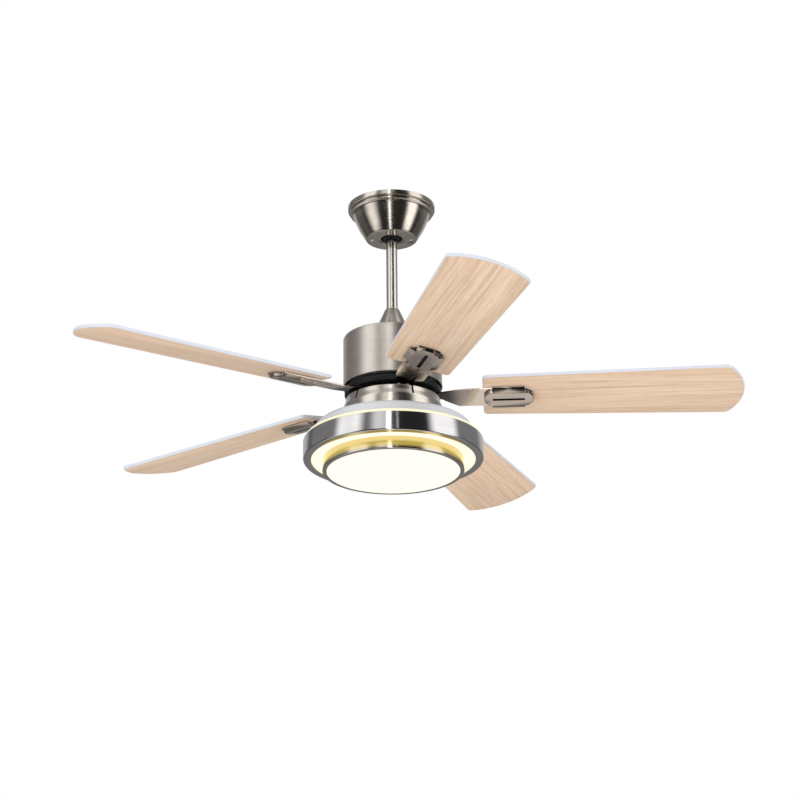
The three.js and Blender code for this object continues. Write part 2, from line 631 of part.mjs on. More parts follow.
addCeilingSide();
addSuspension();
addMotor();
addBlades();
addLightKit();

export default fan;
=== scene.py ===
# %% [markdown]
# # A ceiling fan with a ring light
# The fan hangs from a ball joint under a spun canopy. A motor in a plain brushed cylinder turns five
# oak blades, and below it a stepped round light glows through three frosted acrylic rings.
# The imported model gives the design: the main sizes and places below are measured on it, and this lesson
# makes the surfaces. The first lines load it and give a way to measure the box of each part.

# %% Load the imported model
import math
import bmesh
import bpy
from mathutils import Matrix, Vector


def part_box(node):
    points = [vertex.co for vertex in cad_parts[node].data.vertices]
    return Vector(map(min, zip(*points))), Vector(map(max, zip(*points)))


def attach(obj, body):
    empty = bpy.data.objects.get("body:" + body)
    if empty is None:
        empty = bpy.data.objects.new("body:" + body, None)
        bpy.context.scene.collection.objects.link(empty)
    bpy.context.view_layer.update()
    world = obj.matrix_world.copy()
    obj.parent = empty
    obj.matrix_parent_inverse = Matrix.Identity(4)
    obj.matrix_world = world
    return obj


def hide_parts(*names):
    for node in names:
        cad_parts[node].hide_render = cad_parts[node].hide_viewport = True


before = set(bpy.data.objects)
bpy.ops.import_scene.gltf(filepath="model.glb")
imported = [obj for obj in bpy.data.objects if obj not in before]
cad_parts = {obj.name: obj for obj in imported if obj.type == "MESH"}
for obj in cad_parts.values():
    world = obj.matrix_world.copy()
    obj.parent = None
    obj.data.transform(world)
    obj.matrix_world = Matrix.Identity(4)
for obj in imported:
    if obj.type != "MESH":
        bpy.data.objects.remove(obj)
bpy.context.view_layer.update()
MM = 0.001
scene = bpy.context.scene

# %% [markdown]
# The light comes first, because polished metal shows nothing but what is around it. A real studio
# puts tall soft boxes left and right of a nickel lamp and leaves it dark between them, which draws
# upright bright and dark bands on every turned surface. Lamps of that shape would do, but a sky
# whose brightness depends only on the compass direction gives the same bands without noise.
# Matt surfaces get an even white light instead, and the camera sees a white backdrop.

# %% Camera
CAMERA_DISTANCE = 5.115
CAMERA_DROP = 2.3435
CAMERA_PITCH = math.radians(20.82)
CAMERA_YAW = math.radians(0.15)
CAMERA_ROLL = math.radians(-0.51)
CAMERA_LENS = 130.8
CAMERA_REACH = 50


def make_camera():
    """A long lens below the blades, looking up at them and tipped a little to one side."""
    ahead = Vector((math.sin(CAMERA_YAW) * math.cos(CAMERA_PITCH),
                    math.cos(CAMERA_YAW) * math.cos(CAMERA_PITCH), math.sin(CAMERA_PITCH)))
    level = Vector((math.cos(CAMERA_YAW), -math.sin(CAMERA_YAW), 0.0))
    above = level.cross(ahead)
    right = level * math.cos(CAMERA_ROLL) + above * math.sin(CAMERA_ROLL)
    up = above * math.cos(CAMERA_ROLL) - level * math.sin(CAMERA_ROLL)
    data = bpy.data.cameras.new("camera")
    data.lens = CAMERA_LENS
    data.clip_end = CAMERA_REACH
    camera = bpy.data.objects.new("camera", data)
    place = Matrix((right, up, -ahead)).transposed().to_4x4()
    place.translation = Vector((0, -CAMERA_DISTANCE, -CAMERA_DROP))
    camera.matrix_world = place
    scene.collection.objects.link(camera)
    scene.camera = camera
    print("camera looks up", round(math.degrees(CAMERA_PITCH), 2), "degrees")


make_camera()
scene.view_settings.view_transform = "Standard"

# %% [markdown]
# Shader and geometry trees are both graphs of nodes, so one small helper makes any node: it takes the
# node's type, its settings, and the values or links of its sockets. `Field` wraps a value so that
# plain Python arithmetic adds the Math nodes, which keeps a pattern readable as a formula.


# %% Nodes from Python
def socket_of(sockets, key):
    """A socket by its index or its name; a name means the first enabled socket that has it."""
    if isinstance(key, int):
        return sockets[key]
    return next(s for s in sockets if s.name == key and s.enabled)


def add_node(tree, kind, settings=None, inputs=None):
    """Adds one node. Settings go first, because they decide which sockets it has."""
    node = tree.nodes.new(kind)
    for name, value in (settings or {}).items():
        setattr(node, name, value)
    for key, value in (inputs or {}).items():
        target = socket_of(node.inputs, key)
        if isinstance(value, Field):
            tree.links.new(value.socket, target)
        elif isinstance(value, bpy.types.NodeSocket):
            tree.links.new(value, target)
        else:
            target.default_value = value
    return node


class Field:
    """A value in a node tree. Arithmetic on it adds Math nodes."""

    def __init__(self, tree, socket):
        self.tree = tree
        self.socket = socket

    def math(self, operation, *values, clamp=False):
        settings = {"operation": operation, "use_clamp": clamp}
        node = add_node(self.tree, "ShaderNodeMath", settings, dict(enumerate(values)))
        return Field(self.tree, node.outputs[0])

    def __add__(self, other):
        return self.math("ADD", self, other)

    def __radd__(self, other):
        return self.math("ADD", other, self)

    def __sub__(self, other):
        return self.math("SUBTRACT", self, other)

    def __rsub__(self, other):
        return self.math("SUBTRACT", other, self)

    def __mul__(self, other):
        return self.math("MULTIPLY", self, other)

    def __rmul__(self, other):
        return self.math("MULTIPLY", other, self)

    def __truediv__(self, other):
        return self.math("DIVIDE", self, other)

    def __pow__(self, other):
        return self.math("POWER", self, other)

    def clamped(self):
        return self.math("ADD", self, 0.0, clamp=True)

    def ramp_up(self, low, high):
        """0 below low, 1 above high, smooth between."""
        node = add_node(self.tree, "ShaderNodeMapRange", {"interpolation_type": "SMOOTHSTEP"},
                        {"Value": self, "From Min": low, "From Max": high})
        return Field(self.tree, node.outputs[0])


# %% [markdown]
# The sky is the soft boxes. Each is a smooth bump over the compass direction, and a soft window over
# height, because surfaces that slope down and surfaces that stand upright mirror different heights.
# Straight behind the camera is a narrow strip light. Between the boxes it stays dark, which is what
# gives turned nickel its contrast. The directions and brightnesses are set for this one
# view. Mirror rays see the bands, matt surfaces and the camera see plain white.

# %% Studio light
SKY_BANDS = [
    # degrees to the right of the camera, half width, edge softness, brightness, lowest, highest height
    (-5.5, 2.6, 1.6, 3.0, -90, 90),
    (5.5, 0.7, 0.8, 0.9, 2, 90),
    (-18.0, 9.0, 12.0, 0.85, 2, 90),
    (-40.0, 12.0, 8.0, 0.17, 2, 90),
    (-58.0, 17.0, 14.0, 1.15, 2, 90),
    (-100.0, 30.0, 20.0, 0.2, 2, 90),
    (68.0, 19.0, 14.0, 1.3, 2, 90),
    (112.0, 24.0, 20.0, 0.2, 2, 90),
    (-66.0, 16.0, 26.0, 1.3, -36, 0),
    (68.0, 15.0, 14.0, 1.7, -36, 0),
    (128.0, 24.0, 14.0, 0.08, -90, 0),
    (-128.0, 28.0, 14.0, 0.08, -90, 0),
    (180.0, 28.0, 18.0, 0.2, -90, 0),
    (180.0, 40.0, 24.0, 0.5, 2, 90),
    (180.0, 50.0, 30.0, 0.9, -90, -41),
]
SKY_DARK = 0.02
SKY_ZENITH = 0.4
SKY_ZENITH_HEIGHTS = (0.72, 0.95)
SKY_WARM_WHITE = (1.0, 0.99, 0.975, 1)
HEIGHT_SOFT = 9.0
WHITE = (1, 1, 1, 1)
MATT_LIGHT = 1.02
BACKDROP_LIGHT = 1.0
LAMP_AIM = Vector((0, 0, -0.35))
LAMP_SIZE = (1.6, 2.2)


def make_sky():
    world = bpy.data.worlds.new("studio")
    world.use_nodes = True
    scene.world = world
    tree = world.node_tree
    tree.nodes.clear()
    direction = add_node(tree, "ShaderNodeTexCoord").outputs["Generated"]
    axes = add_node(tree, "ShaderNodeSeparateXYZ", inputs={0: direction})
    x, y, z = (Field(tree, s) for s in axes.outputs)
    compass = x.math("ARCTAN2", x, 0 - y) * math.degrees(1)
    height = z.math("ARCSINE", z) * math.degrees(1)
    glow = x * 0 + SKY_DARK
    for centre, half, soft, brightness, lowest, highest in SKY_BANDS:
        turn = compass.math("WRAP", compass - centre, 180.0, -180.0)
        away = turn.math("ABSOLUTE", turn)
        band = 1 - away.ramp_up(half - soft / 2, half + soft / 2)
        if lowest > -90:
            band = band * height.ramp_up(lowest - HEIGHT_SOFT, lowest + HEIGHT_SOFT)
        if highest < 90:
            band = band * (1 - height.ramp_up(highest - HEIGHT_SOFT, highest + HEIGHT_SOFT))
        glow = glow + brightness * band
    overhead = z.ramp_up(*SKY_ZENITH_HEIGHTS)
    glow = glow * (1 - overhead) + overhead * SKY_ZENITH
    shiny = add_node(tree, "ShaderNodeBackground", inputs={"Color": SKY_WARM_WHITE, "Strength": glow})
    matt = add_node(tree, "ShaderNodeBackground", inputs={"Color": WHITE, "Strength": MATT_LIGHT})
    backdrop = add_node(tree, "ShaderNodeBackground", inputs={"Color": WHITE, "Strength": BACKDROP_LIGHT})
    ray = add_node(tree, "ShaderNodeLightPath")
    by_finish = add_node(tree, "ShaderNodeMixShader", inputs={
        0: ray.outputs["Is Glossy Ray"], 1: matt.outputs[0], 2: shiny.outputs[0]})
    seen = add_node(tree, "ShaderNodeMixShader", inputs={
        0: ray.outputs["Is Camera Ray"], 1: by_finish.outputs[0], 2: backdrop.outputs[0]})
    add_node(tree, "ShaderNodeOutputWorld", inputs={"Surface": seen.outputs[0]})
    print("sky bands:", len(SKY_BANDS))


def make_lamp(name, at, size, power):
    """A soft box aimed at the middle of the fan. It lights, but isn't itself in view."""
    data = bpy.data.lights.new(name, "AREA")
    data.shape = "RECTANGLE"
    data.size = size[0]
    data.size_y = size[1]
    data.energy = power
    lamp = bpy.data.objects.new(name, data)
    lamp.location = at
    aim = LAMP_AIM - Vector(at)
    lamp.rotation_euler = aim.to_track_quat("-Z", "Y").to_euler()
    lamp.visible_camera = False
    lamp.visible_glossy = False
    scene.collection.objects.link(lamp)
    print(name, "gives", power, "watts")


make_sky()
make_lamp("key_left", (-2.6, -3.0, -1.2), LAMP_SIZE, 26)
make_lamp("fill_right", (2.8, -2.6, -1.6), LAMP_SIZE, 16)

# %% [markdown]
# A finish is a material around one Principled shader. Values that are the same all over the surface are
# set on the shader's own sockets; only what changes over the surface is linked.


# %% Finish helper
class Finish:
    """A material being built. Its keywords are uniform values, and `link` gives what varies."""

    def __init__(self, name, **uniform):
        self.material = bpy.data.materials.new(name)
        self.material.use_nodes = True
        self.tree = self.material.node_tree
        self.tree.nodes.clear()
        self.shader = add_node(self.tree, "ShaderNodeBsdfPrincipled")
        add_node(self.tree, "ShaderNodeOutputMaterial", inputs={"Surface": self.shader.outputs[0]})
        for name_, value in uniform.items():
            self.shader.inputs[name_.replace("_", " ").title().replace("Ior", "IOR")].default_value = value

    def link(self, name, value):
        self.tree.links.new(value.socket, self.shader.inputs[name])

    def node(self, kind, settings=None, output=0, **inputs):
        named = {key.replace("_", " "): value for key, value in inputs.items()}
        made = add_node(self.tree, kind, settings, named)
        return Field(self.tree, socket_of(made.outputs, output))

    def axes(self, source):
        made = add_node(self.tree, "ShaderNodeSeparateXYZ", inputs={0: source})
        return [Field(self.tree, s) for s in made.outputs]

    def place(self):
        return self.axes(self.node("ShaderNodeTexCoord", output="Object"))

    def vector(self, x, y, z):
        return self.node("ShaderNodeCombineXYZ", X=x, Y=y, Z=z)

    def noise(self, vector, scale=1.0, detail=2.0, roughness=0.5):
        return self.node("ShaderNodeTexNoise", Vector=vector, Scale=scale, Detail=detail,
                         Roughness=roughness)

    def mix(self, amount, first, second):
        """Blends two colours; each is a Field or a plain (r, g, b)."""
        plain = [(*c, 1.0) if isinstance(c, tuple) else c for c in (first, second)]
        made = add_node(self.tree, "ShaderNodeMix", {"data_type": "RGBA"},
                        {0: amount, 6: plain[0], 7: plain[1]})
        return Field(self.tree, made.outputs[2])

    def bump(self, height, strength, distance):
        self.link("Normal", self.node("ShaderNodeBump", Height=height, Strength=strength, Distance=distance))


# %% [markdown]
# Nickel plate on spun steel is brushed round the axis on a turning wheel: fine scratches follow the
# turn, so highlights stretch along the axis. The scratches are noise that hardly changes round the
# axis and changes fast across it; the cosine and sine of the angle keep it free of a seam. The same
# recipe, brushed along the axis instead, suits the drawn rod.

# %% Metal finishes
NICKEL = (0.70, 0.645, 0.585)
NICKEL_DEEP = (0.62, 0.565, 0.505)
# Painted shade: the colour that the arms fade to near the hub, for the dark that they reflect there.
HUB_SHADE_COLOUR = (0.06, 0.055, 0.05)
QUARTER_TURN = 0.25


def brushed(name, base, deep, roughness, along_axis=False, depth=0.012, glow=None):
    """Brushed plate. `glow` is painted lamplight: the emitted light, the golden colour painted on the metal
    where that light would reflect, and the heights between which it grows from nothing."""
    made = Finish(name, metallic=1.0, anisotropic=0.6, emission_strength=1.0 if glow else 0.0)
    x, y, z = made.place()
    radius = (x * x + y * y) ** 0.5 + 1e-5
    turn_x, turn_y = x / radius, y / radius
    if along_axis:
        scratches = made.noise(made.vector(turn_x * 40, turn_y * 40, z * 5), detail=3)
        smears = made.noise(made.vector(turn_x * 6, turn_y * 6, z * 4), detail=2)
    else:
        made.shader.inputs["Anisotropic Rotation"].default_value = QUARTER_TURN
        across = (z + radius) * 1900
        scratches = made.noise(made.vector(turn_x * 4, turn_y * 4, across), detail=3)
        smears = made.noise(made.vector(turn_x * 2.5, turn_y * 2.5, across * 0.04), detail=2)
    tone = made.mix(smears.ramp_up(0.3, 0.75), base, deep)
    tone = made.mix(scratches.ramp_up(0.55, 0.8) * 0.35, tone, deep)
    if glow:
        # Painted light: a golden base colour and a warm emission toward the top of the band, standing in for
        # the diffusers' light reflected on it.
        painted_glow_mask = z.ramp_up(*glow["heights"])
        tone = made.mix(painted_glow_mask, tone, glow["metal"])
        made.link("Emission Color", made.mix(painted_glow_mask, (0.0, 0.0, 0.0), glow["light"]))
    made.link("Base Color", tone)
    made.link("Roughness", roughness + 0.07 * (scratches - 0.5) + 0.04 * (smears - 0.5))
    made.bump(scratches, depth, 0.0002)
    return made.material


def plated(name, base, deep, roughness, painted_hub_shade=None):
    """Polished plate on pressed steel, with a faint waviness from the press and light wear. The last
    argument gives two distances from the axis: painted shade darkens the plate between them, toward the
    black flywheel."""
    made = Finish(name, metallic=1.0)
    x, y, z = made.place()
    wave = made.noise(made.vector(x * 60, y * 60, z * 60), detail=2)
    wear = made.noise(made.vector(x * 400, y * 400, z * 400), detail=4)
    tone = made.mix(wear.ramp_up(0.45, 0.8) * 0.5, base, deep)
    if painted_hub_shade:
        radius = (x * x + y * y) ** 0.5
        # Painted shade: darker toward the axis, standing in for the dark reflected near the flywheel.
        tone = made.mix(1 - radius.ramp_up(*painted_hub_shade), tone, HUB_SHADE_COLOUR)
    made.link("Base Color", tone)
    made.link("Roughness", roughness + 0.06 * (wear - 0.5) * wave)
    made.bump(wave, 0.02, 0.0005)
    return made.material


brushed_nickel = brushed("brushed_nickel", NICKEL, NICKEL_DEEP, 0.2)
bright_nickel = brushed("bright_nickel", (0.72, 0.71, 0.72), (0.66, 0.65, 0.66), 0.13, depth=0.006)
rod_nickel = brushed("rod_nickel", (0.8, 0.77, 0.73), (0.72, 0.68, 0.63), 0.2, along_axis=True, depth=0.004)
satin_nickel = brushed("satin_nickel", (0.8, 0.74, 0.68), (0.74, 0.68, 0.62), 0.4, depth=0.006)
spun_nickel = brushed("spun_nickel", (0.78, 0.72, 0.66), (0.72, 0.66, 0.6), 0.27, depth=0.006)
polished_nickel = plated("polished_nickel", (0.74, 0.68, 0.61), (0.58, 0.51, 0.43), 0.1)
# The arms and plaques are the same polished nickel, painted darker and browner as shade for their dim
# reflections.
arm_nickel = plated("arm_nickel", (0.62, 0.53, 0.45), (0.46, 0.38, 0.31), 0.12, painted_hub_shade=(0.1, 0.14))
plaque_nickel = plated("plaque_nickel", (0.44, 0.375, 0.32), (0.33, 0.27, 0.22), 0.12)
print("finishes so far:", len(bpy.data.materials))

# %% [markdown]
# Inside parts are zinc plated, cast, wound or moulded. Most are hidden, but each still gets a surface
# of its own: zinc has crystals, castings have a coarse skin, laminations and windings have layers.


# %% Finishes of the inner parts
def speckled(name, base, spot, metallic, roughness, grain, depth, **uniform):
    """A cell pattern blended between two tones, for zinc spangle, castings and mouldings."""
    made = Finish(name, metallic=metallic, **uniform)
    x, y, z = made.place()
    spot_size = made.vector(x * grain, y * grain, z * grain)
    cells = made.node("ShaderNodeTexVoronoi", output="Distance", Vector=spot_size, Scale=1.0)
    cloud = made.noise(spot_size, scale=0.35, detail=3)
    made.link("Base Color", made.mix((cells * 0.6 + cloud * 0.6).clamped(), base, spot))
    made.link("Roughness", roughness + 0.2 * (cloud - 0.5))
    made.bump(cells + cloud, depth, 0.0004)
    return made.material


def layered(name, base, gap, metallic, roughness, pitch):
    """Thin layers across the axis, for a laminated core and wound wire."""
    made = Finish(name, metallic=metallic)
    x, y, z = made.place()
    wobble = made.noise(made.vector(x * 40, y * 40, z * 40))
    stripe = (z * (1 / pitch) + wobble * 0.6).math("PINGPONG", z * (1 / pitch) + wobble * 0.6, 0.5) * 2
    made.link("Base Color", made.mix(stripe, gap, base))
    made.link("Roughness", roughness + 0.15 * (wobble - 0.5))
    made.bump(stripe, 0.3, 0.0003)
    return made.material


zinc = speckled("zinc_plate", (0.56, 0.57, 0.58), (0.42, 0.43, 0.45), 1.0, 0.42, 220, 0.08)
cast_aluminium = speckled("cast_aluminium", (0.6, 0.61, 0.62), (0.45, 0.46, 0.47), 0.9, 0.55, 700, 0.25)
ground_steel = brushed("ground_steel", (0.7, 0.7, 0.71), (0.6, 0.6, 0.62), 0.22)
core_steel = layered("core_steel", (0.2, 0.2, 0.21), (0.06, 0.06, 0.065), 0.8, 0.5, 0.5 * MM)
copper_wire = layered("copper_wire", (0.62, 0.27, 0.11), (0.25, 0.08, 0.03), 0.9, 0.35, 0.8 * MM)
ferrite = speckled("ferrite", (0.08, 0.08, 0.085), (0.04, 0.04, 0.045), 0.2, 0.6, 900, 0.2)
nylon = speckled("white_nylon", (0.8, 0.79, 0.76), (0.72, 0.71, 0.67), 0.0, 0.45, 500, 0.06)
# Black plastic, made near black so that the hanger ball seen through the canopy's hole also stands in for
# the shade there.
dark_plastic = speckled("dark_plastic", (0.014, 0.014, 0.015), (0.008, 0.008, 0.009), 0.0, 0.5, 1500, 0.3,
                        specular_ior_level=0.2)
board_white = speckled("board_white", (0.85, 0.87, 0.86), (0.75, 0.78, 0.77), 0.0, 0.4, 350, 0.05)
# Black enamel is the flywheel's own colour. The plaque slots are lined with it as painted shade.
black_enamel = speckled("black_enamel", (0.008, 0.008, 0.009), (0.014, 0.013, 0.013), 0.0, 0.4, 160,
                        0.05, specular_ior_level=0.2)
print("finishes so far:", len(bpy.data.materials))

# %% [markdown]
# The blades are faced with light oak on the side that is seen from the room, and lacquered pale on the
# top and edges. Oak has three scales: broad soft bands, arched growth lines where the saw crossed the
# rings, and short dark pores. All run along the blade, so the pattern reads a UV map whose U is the
# distance from the fan's axis in metres and whose V is the distance across.


# %% Wood and lacquer
OAK_LIGHT = (0.9, 0.68, 0.49)
OAK_MID = (0.85, 0.61, 0.425)
OAK_DARK = (0.69, 0.46, 0.31)
OAK_PALE = (0.94, 0.77, 0.6)
OAK_ROSE = (0.7, 0.48, 0.35)
OAK_PORE = (0.5, 0.32, 0.21)


def light_oak():
    made = Finish("light_oak", coat_weight=0.08, coat_roughness=0.35)
    u, v, _ = made.axes(made.node("ShaderNodeUVMap", {"uv_map": "grain"}))
    drift = made.noise(made.vector(u * 1.6, v * 5, 0.37), detail=2)
    bands = made.noise(made.vector(u * 1.1, v * 30 + drift * 2, 0.37), detail=3)
    # Growth rings cut by the saw: long arches whose tips lie along the blade.
    arch = v * 60 + (drift - 0.5) * 9 + (u * 2.4 - 1.0) ** 2 * 1.2
    rings = (arch.math("SINE", arch * 2.4) * 0.5 + 0.5) ** 3
    streaks = made.noise(made.vector(u * 3.4, v * 210 + drift * 5, 0.37), detail=5, roughness=0.68)
    fibres = made.noise(made.vector(u * 9, v * 520 + drift * 5, 0.61), detail=3, roughness=0.65)
    pores = made.noise(made.vector(u * 24, v * 1000, 0.83), detail=1)
    tone = made.mix(bands.ramp_up(0.32, 0.68), OAK_LIGHT, OAK_MID)
    tone = made.mix((rings * 0.22).clamped(), tone, OAK_DARK)
    tone = made.mix(streaks.ramp_up(0.5, 0.64) * 0.8, tone, OAK_DARK)
    tone = made.mix(streaks.ramp_up(0.47, 0.33) * 0.6, tone, OAK_PALE)
    tone = made.mix(fibres.ramp_up(0.5, 0.66) * 0.6, tone, OAK_ROSE)
    tone = made.mix(pores.ramp_up(0.6, 0.74) * 0.45, tone, OAK_PORE)
    made.link("Base Color", tone)
    made.link("Roughness", 0.45 + 0.18 * streaks)
    made.bump(streaks * 0.4 + fibres * 0.4 - pores.ramp_up(0.6, 0.75), 0.15, 0.0003)
    return made.material


def pale_lacquer():
    made = Finish("pale_lacquer", coat_weight=0.3, coat_roughness=0.2)
    x, y, z = made.place()
    cloud = made.noise(made.vector(x * 12, y * 12, z * 12), detail=3)
    peel = made.noise(made.vector(x * 900, y * 900, z * 900), detail=1)
    made.link("Base Color", made.mix(cloud, (0.66, 0.7, 0.8), (0.74, 0.77, 0.85)))
    made.link("Roughness", 0.3 + 0.12 * cloud)
    made.bump(peel, 0.08, 0.0002)
    return made.material


oak = light_oak()
lacquer = pale_lacquer()
print("blade finishes:", oak.name, lacquer.name)

# %% [markdown]
# Opal acrylic scatters the light of the LEDs behind it. Tracing that would take many samples, so the
# glow is painted as emission: a warm white that gets a little yellower and dimmer toward the metal
# that frames it. The dome above is the same acrylic, lit only along its lower rim. The band between the
# two diffusers gets a painted reflection of their light, a golden colour and glow, made in the same way.


# %% Acrylic
EDGE_FADE = (-5 * MM, 1 * MM)
SHELF_FADE = (-1.2 * MM, 0.2 * MM)


def lit_acrylic(name, outer, middle, edge):
    """Glows out to a radius in metres, in one colour at its middle and another at the metal."""
    made = Finish(name, base_color=(0.06, 0.06, 0.055, 1), emission_strength=1.0)
    x, y, z = made.place()
    radius = (x * x + y * y) ** 0.5
    rim = radius.ramp_up(outer + EDGE_FADE[0], outer + EDGE_FADE[1])
    cloud = made.noise(made.vector(x * 30, y * 30, z * 30), detail=2)
    made.link("Emission Color", made.mix(rim, middle, edge))
    made.link("Roughness", 0.45 + 0.1 * cloud)
    made.bump(made.noise(made.vector(x * 1500, y * 1500, z * 1500)), 0.05, 0.0002)
    return made.material


def dome_acrylic(shelf_z):
    """Pale and unlit, with a warm line of light below the shelf."""
    made = Finish("frosted_acrylic", emission_strength=1.0)
    x, y, z = made.place()
    lit = 1 - z.ramp_up(shelf_z + SHELF_FADE[0], shelf_z + SHELF_FADE[1])
    cloud = made.noise(made.vector(x * 18, y * 18, z * 18), detail=3)
    pale = made.mix(cloud, (0.66, 0.675, 0.725), (0.7, 0.715, 0.76))
    made.link("Base Color", made.mix(lit, pale, (0.08, 0.08, 0.06)))
    made.link("Emission Color", made.mix(lit, (0.0, 0.0, 0.0), (0.94, 0.9, 0.62)))
    made.link("Roughness", 0.4 + 0.15 * cloud)
    made.bump(made.noise(made.vector(x * 1200, y * 1200, z * 1200)), 0.05, 0.0002)
    return made.material


# %% [markdown]
# Most of the fan is turned, so most pieces are a profile swept round the axis. `rounded` turns a few
# corner points into an outline with real radii, because no metal edge is sharp, and `lathe` sweeps it
# into a closed shell. A boolean would also round a cylinder's edges, but a profile is exact and clean.


# %% Mesh helpers
CREASE = 32


def low(node):
    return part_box(node)[0]


def high(node):
    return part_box(node)[1]


def radius_of(node):
    """The outer radius of a turned node: the furthest of its sides from the axis."""
    first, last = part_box(node)
    return max(-first.x, -first.y, last.x, last.y)


def turned(vector, angle):
    c, s = math.cos(angle), math.sin(angle)
    return Vector((vector.x * c - vector.y * s, vector.x * s + vector.y * c))


def rounded(corners, steps=4):
    """A closed outline in a plane. Each corner is (x, y), or (x, y, radius) to round it."""
    points = []
    for i, corner in enumerate(corners):
        here = Vector(corner[:2])
        if len(corner) == 2:
            points.append(here)
            continue
        before = (Vector(corners[i - 1][:2]) - here).normalized()
        after = (Vector(corners[(i + 1) % len(corners)][:2]) - here).normalized()
        half = before.angle(after) / 2
        centre = here + (before + after).normalized() * corner[2] / math.sin(half)
        start = here + before * corner[2] / math.tan(half) - centre
        end = here + after * corner[2] / math.tan(half) - centre
        sweep = math.atan2(start.x * end.y - start.y * end.x, start.dot(end))
        points += [centre + turned(start, sweep * s / steps) for s in range(steps + 1)]
    return points


def to_object(name, shape, *materials, crease=CREASE):
    """Closes a bmesh into an object at the origin, smooth but for edges sharper than crease."""
    bmesh.ops.remove_doubles(shape, verts=shape.verts, dist=1e-7)
    bmesh.ops.recalc_face_normals(shape, faces=shape.faces)
    mesh = bpy.data.meshes.new(name)
    shape.to_mesh(mesh)
    shape.free()
    for material in materials:
        mesh.materials.append(material)
    mesh.shade_smooth()
    mesh.set_sharp_from_angle(angle=math.radians(crease))
    made = bpy.data.objects.new(name, mesh)
    scene.collection.objects.link(made)
    return made


def lathe_into(shape, outline, segments):
    rings = []
    for k in range(segments):
        angle = math.tau * k / segments
        c, s = math.cos(angle), math.sin(angle)
        rings.append([shape.verts.new((p.x * c, p.x * s, p.y)) for p in outline])
    for k, ring in enumerate(rings):
        beside = rings[(k + 1) % segments]
        for i, point in enumerate(outline):
            j = (i + 1) % len(outline)
            if max(point.x, outline[j].x) > 1e-6:
                shape.faces.new((ring[i], beside[i], beside[j], ring[j]))


def lathe(name, corners, material, segments=144, steps=4):
    shape = bmesh.new()
    lathe_into(shape, rounded(corners, steps), segments)
    return to_object(name, shape, material)


def sweep_sections(name, sections, *materials, crease=CREASE):
    """A closed solid through rings of points, each ring a list of the same length."""
    shape = bmesh.new()
    rings = [[shape.verts.new(p) for p in section] for section in sections]
    for one, two in zip(rings, rings[1:]):
        for i in range(len(one)):
            j = (i + 1) % len(one)
            shape.faces.new((one[i], one[j], two[j], two[i]))
    shape.faces.new(rings[0])
    shape.faces.new(rings[-1])
    return to_object(name, shape, *materials, crease=crease)


def baked(made, name=None):
    """Replaces an object's modifiers by their result, as a plain mesh."""
    evaluated = made.evaluated_get(bpy.context.evaluated_depsgraph_get())
    mesh = bpy.data.meshes.new_from_object(evaluated)
    made.modifiers.clear()
    made.data = mesh
    mesh.name = name or made.name
    return made


def placed(made, body, slot, *nodes):
    """Hangs a finished piece on its body in place of the plain nodes; the slot argument is not used."""
    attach(made, body)
    if nodes:
        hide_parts(*nodes)
    print(made.name, "rides on", body, "faces:", len(made.data.polygons))
    return made


# %% [markdown]
# ## Canopy
# The canopy hides the bracket and the wiring. It is spun from one sheet over a form, which leaves the
# bead at the rim, a groove and a second smaller bead, and then the cone. The cone bulges slightly, so
# its profile is a straight line with a parabola added. Its flat floor has the hole for the rod, a
# round hole for one screw and a keyhole for the other, so that it can be hung on one screw and turned.

# %% Canopy
SHEET = 1.1 * MM
CANOPY_FLOOR = 48.5 * MM
CANOPY_HOLE = 24.6 * MM
CANOPY_BULGE = 2.6 * MM
CONE_STEPS = 14
SCREW_X = (low("canopy_screw_right").x + high("canopy_screw_right").x) / 2


def canopy_profile():
    rim, top, floor = radius_of("canopy"), high("canopy").z, low("canopy").z
    neck, neck_z, foot = rim - 10.1 * MM, top - 16.6 * MM, CANOPY_FLOOR
    cone = []
    for i in range(1, CONE_STEPS):
        t = i / CONE_STEPS
        out = neck + (foot - neck) * t + 4 * CANOPY_BULGE * t * (1 - t)
        cone.append((out, neck_z + (floor - neck_z) * t))
    beads = [(rim, top, 0.4 * MM), (rim, top - 9.4 * MM, 2.0 * MM),
             (rim - 6.2 * MM, top - 10.8 * MM, 0.4 * MM), (rim - 6.4 * MM, top - 12.0 * MM, 0.4 * MM),
             (rim - 3.6 * MM, top - 12.8 * MM, 1.0 * MM), (rim - 4.0 * MM, top - 15.0 * MM, 0.9 * MM),
             (rim - 8.6 * MM, top - 16.0 * MM, 0.3 * MM), (rim - 8.8 * MM, top - 17.0 * MM, 0.4 * MM),
             (neck, neck_z - 1.6 * MM, 0.5 * MM)]
    outside = [*beads, *cone, (foot, floor, 2.4 * MM), (CANOPY_HOLE, floor, 0.4 * MM)]
    inside = [(CANOPY_HOLE, floor + SHEET, 0.3 * MM), (foot - SHEET, floor + SHEET, 1.0 * MM)]
    inside += [(r - SHEET, z + 0.3 * MM) for r, z in reversed(cone)]
    inside += [(rim - 9.6 * MM, top - 14 * MM), (rim - 7.8 * MM, top - 9 * MM),
               (rim - SHEET, top - 8 * MM, 1 * MM), (rim - SHEET, top, 0.4 * MM)]
    return outside + inside


def cutter(name, outline, bottom, top, *lining):
    """An upright prism through an outline of (x, y) points."""
    return sweep_sections(name, [[(p[0], p[1], z) for p in outline] for z in (bottom, top)], *lining)


def circle(x, y, radius, count=32):
    angles = [math.tau * i / count for i in range(count)]
    return [(x + radius * math.cos(a), y + radius * math.sin(a)) for a in angles]


def carved(made, *tools):
    """Cuts the tools out of a piece with exact booleans, then deletes them. A tool's own material,
    if it has one, lines the hole that it leaves."""
    for tool in tools:
        modifier = made.modifiers.new("cut", "BOOLEAN")
        modifier.object = tool
        modifier.solver = "EXACT"
        modifier.material_mode = "TRANSFER"
    baked(made)
    for tool in tools:
        bpy.data.objects.remove(tool)
    made.data.set_sharp_from_angle(angle=math.radians(CREASE))
    return made


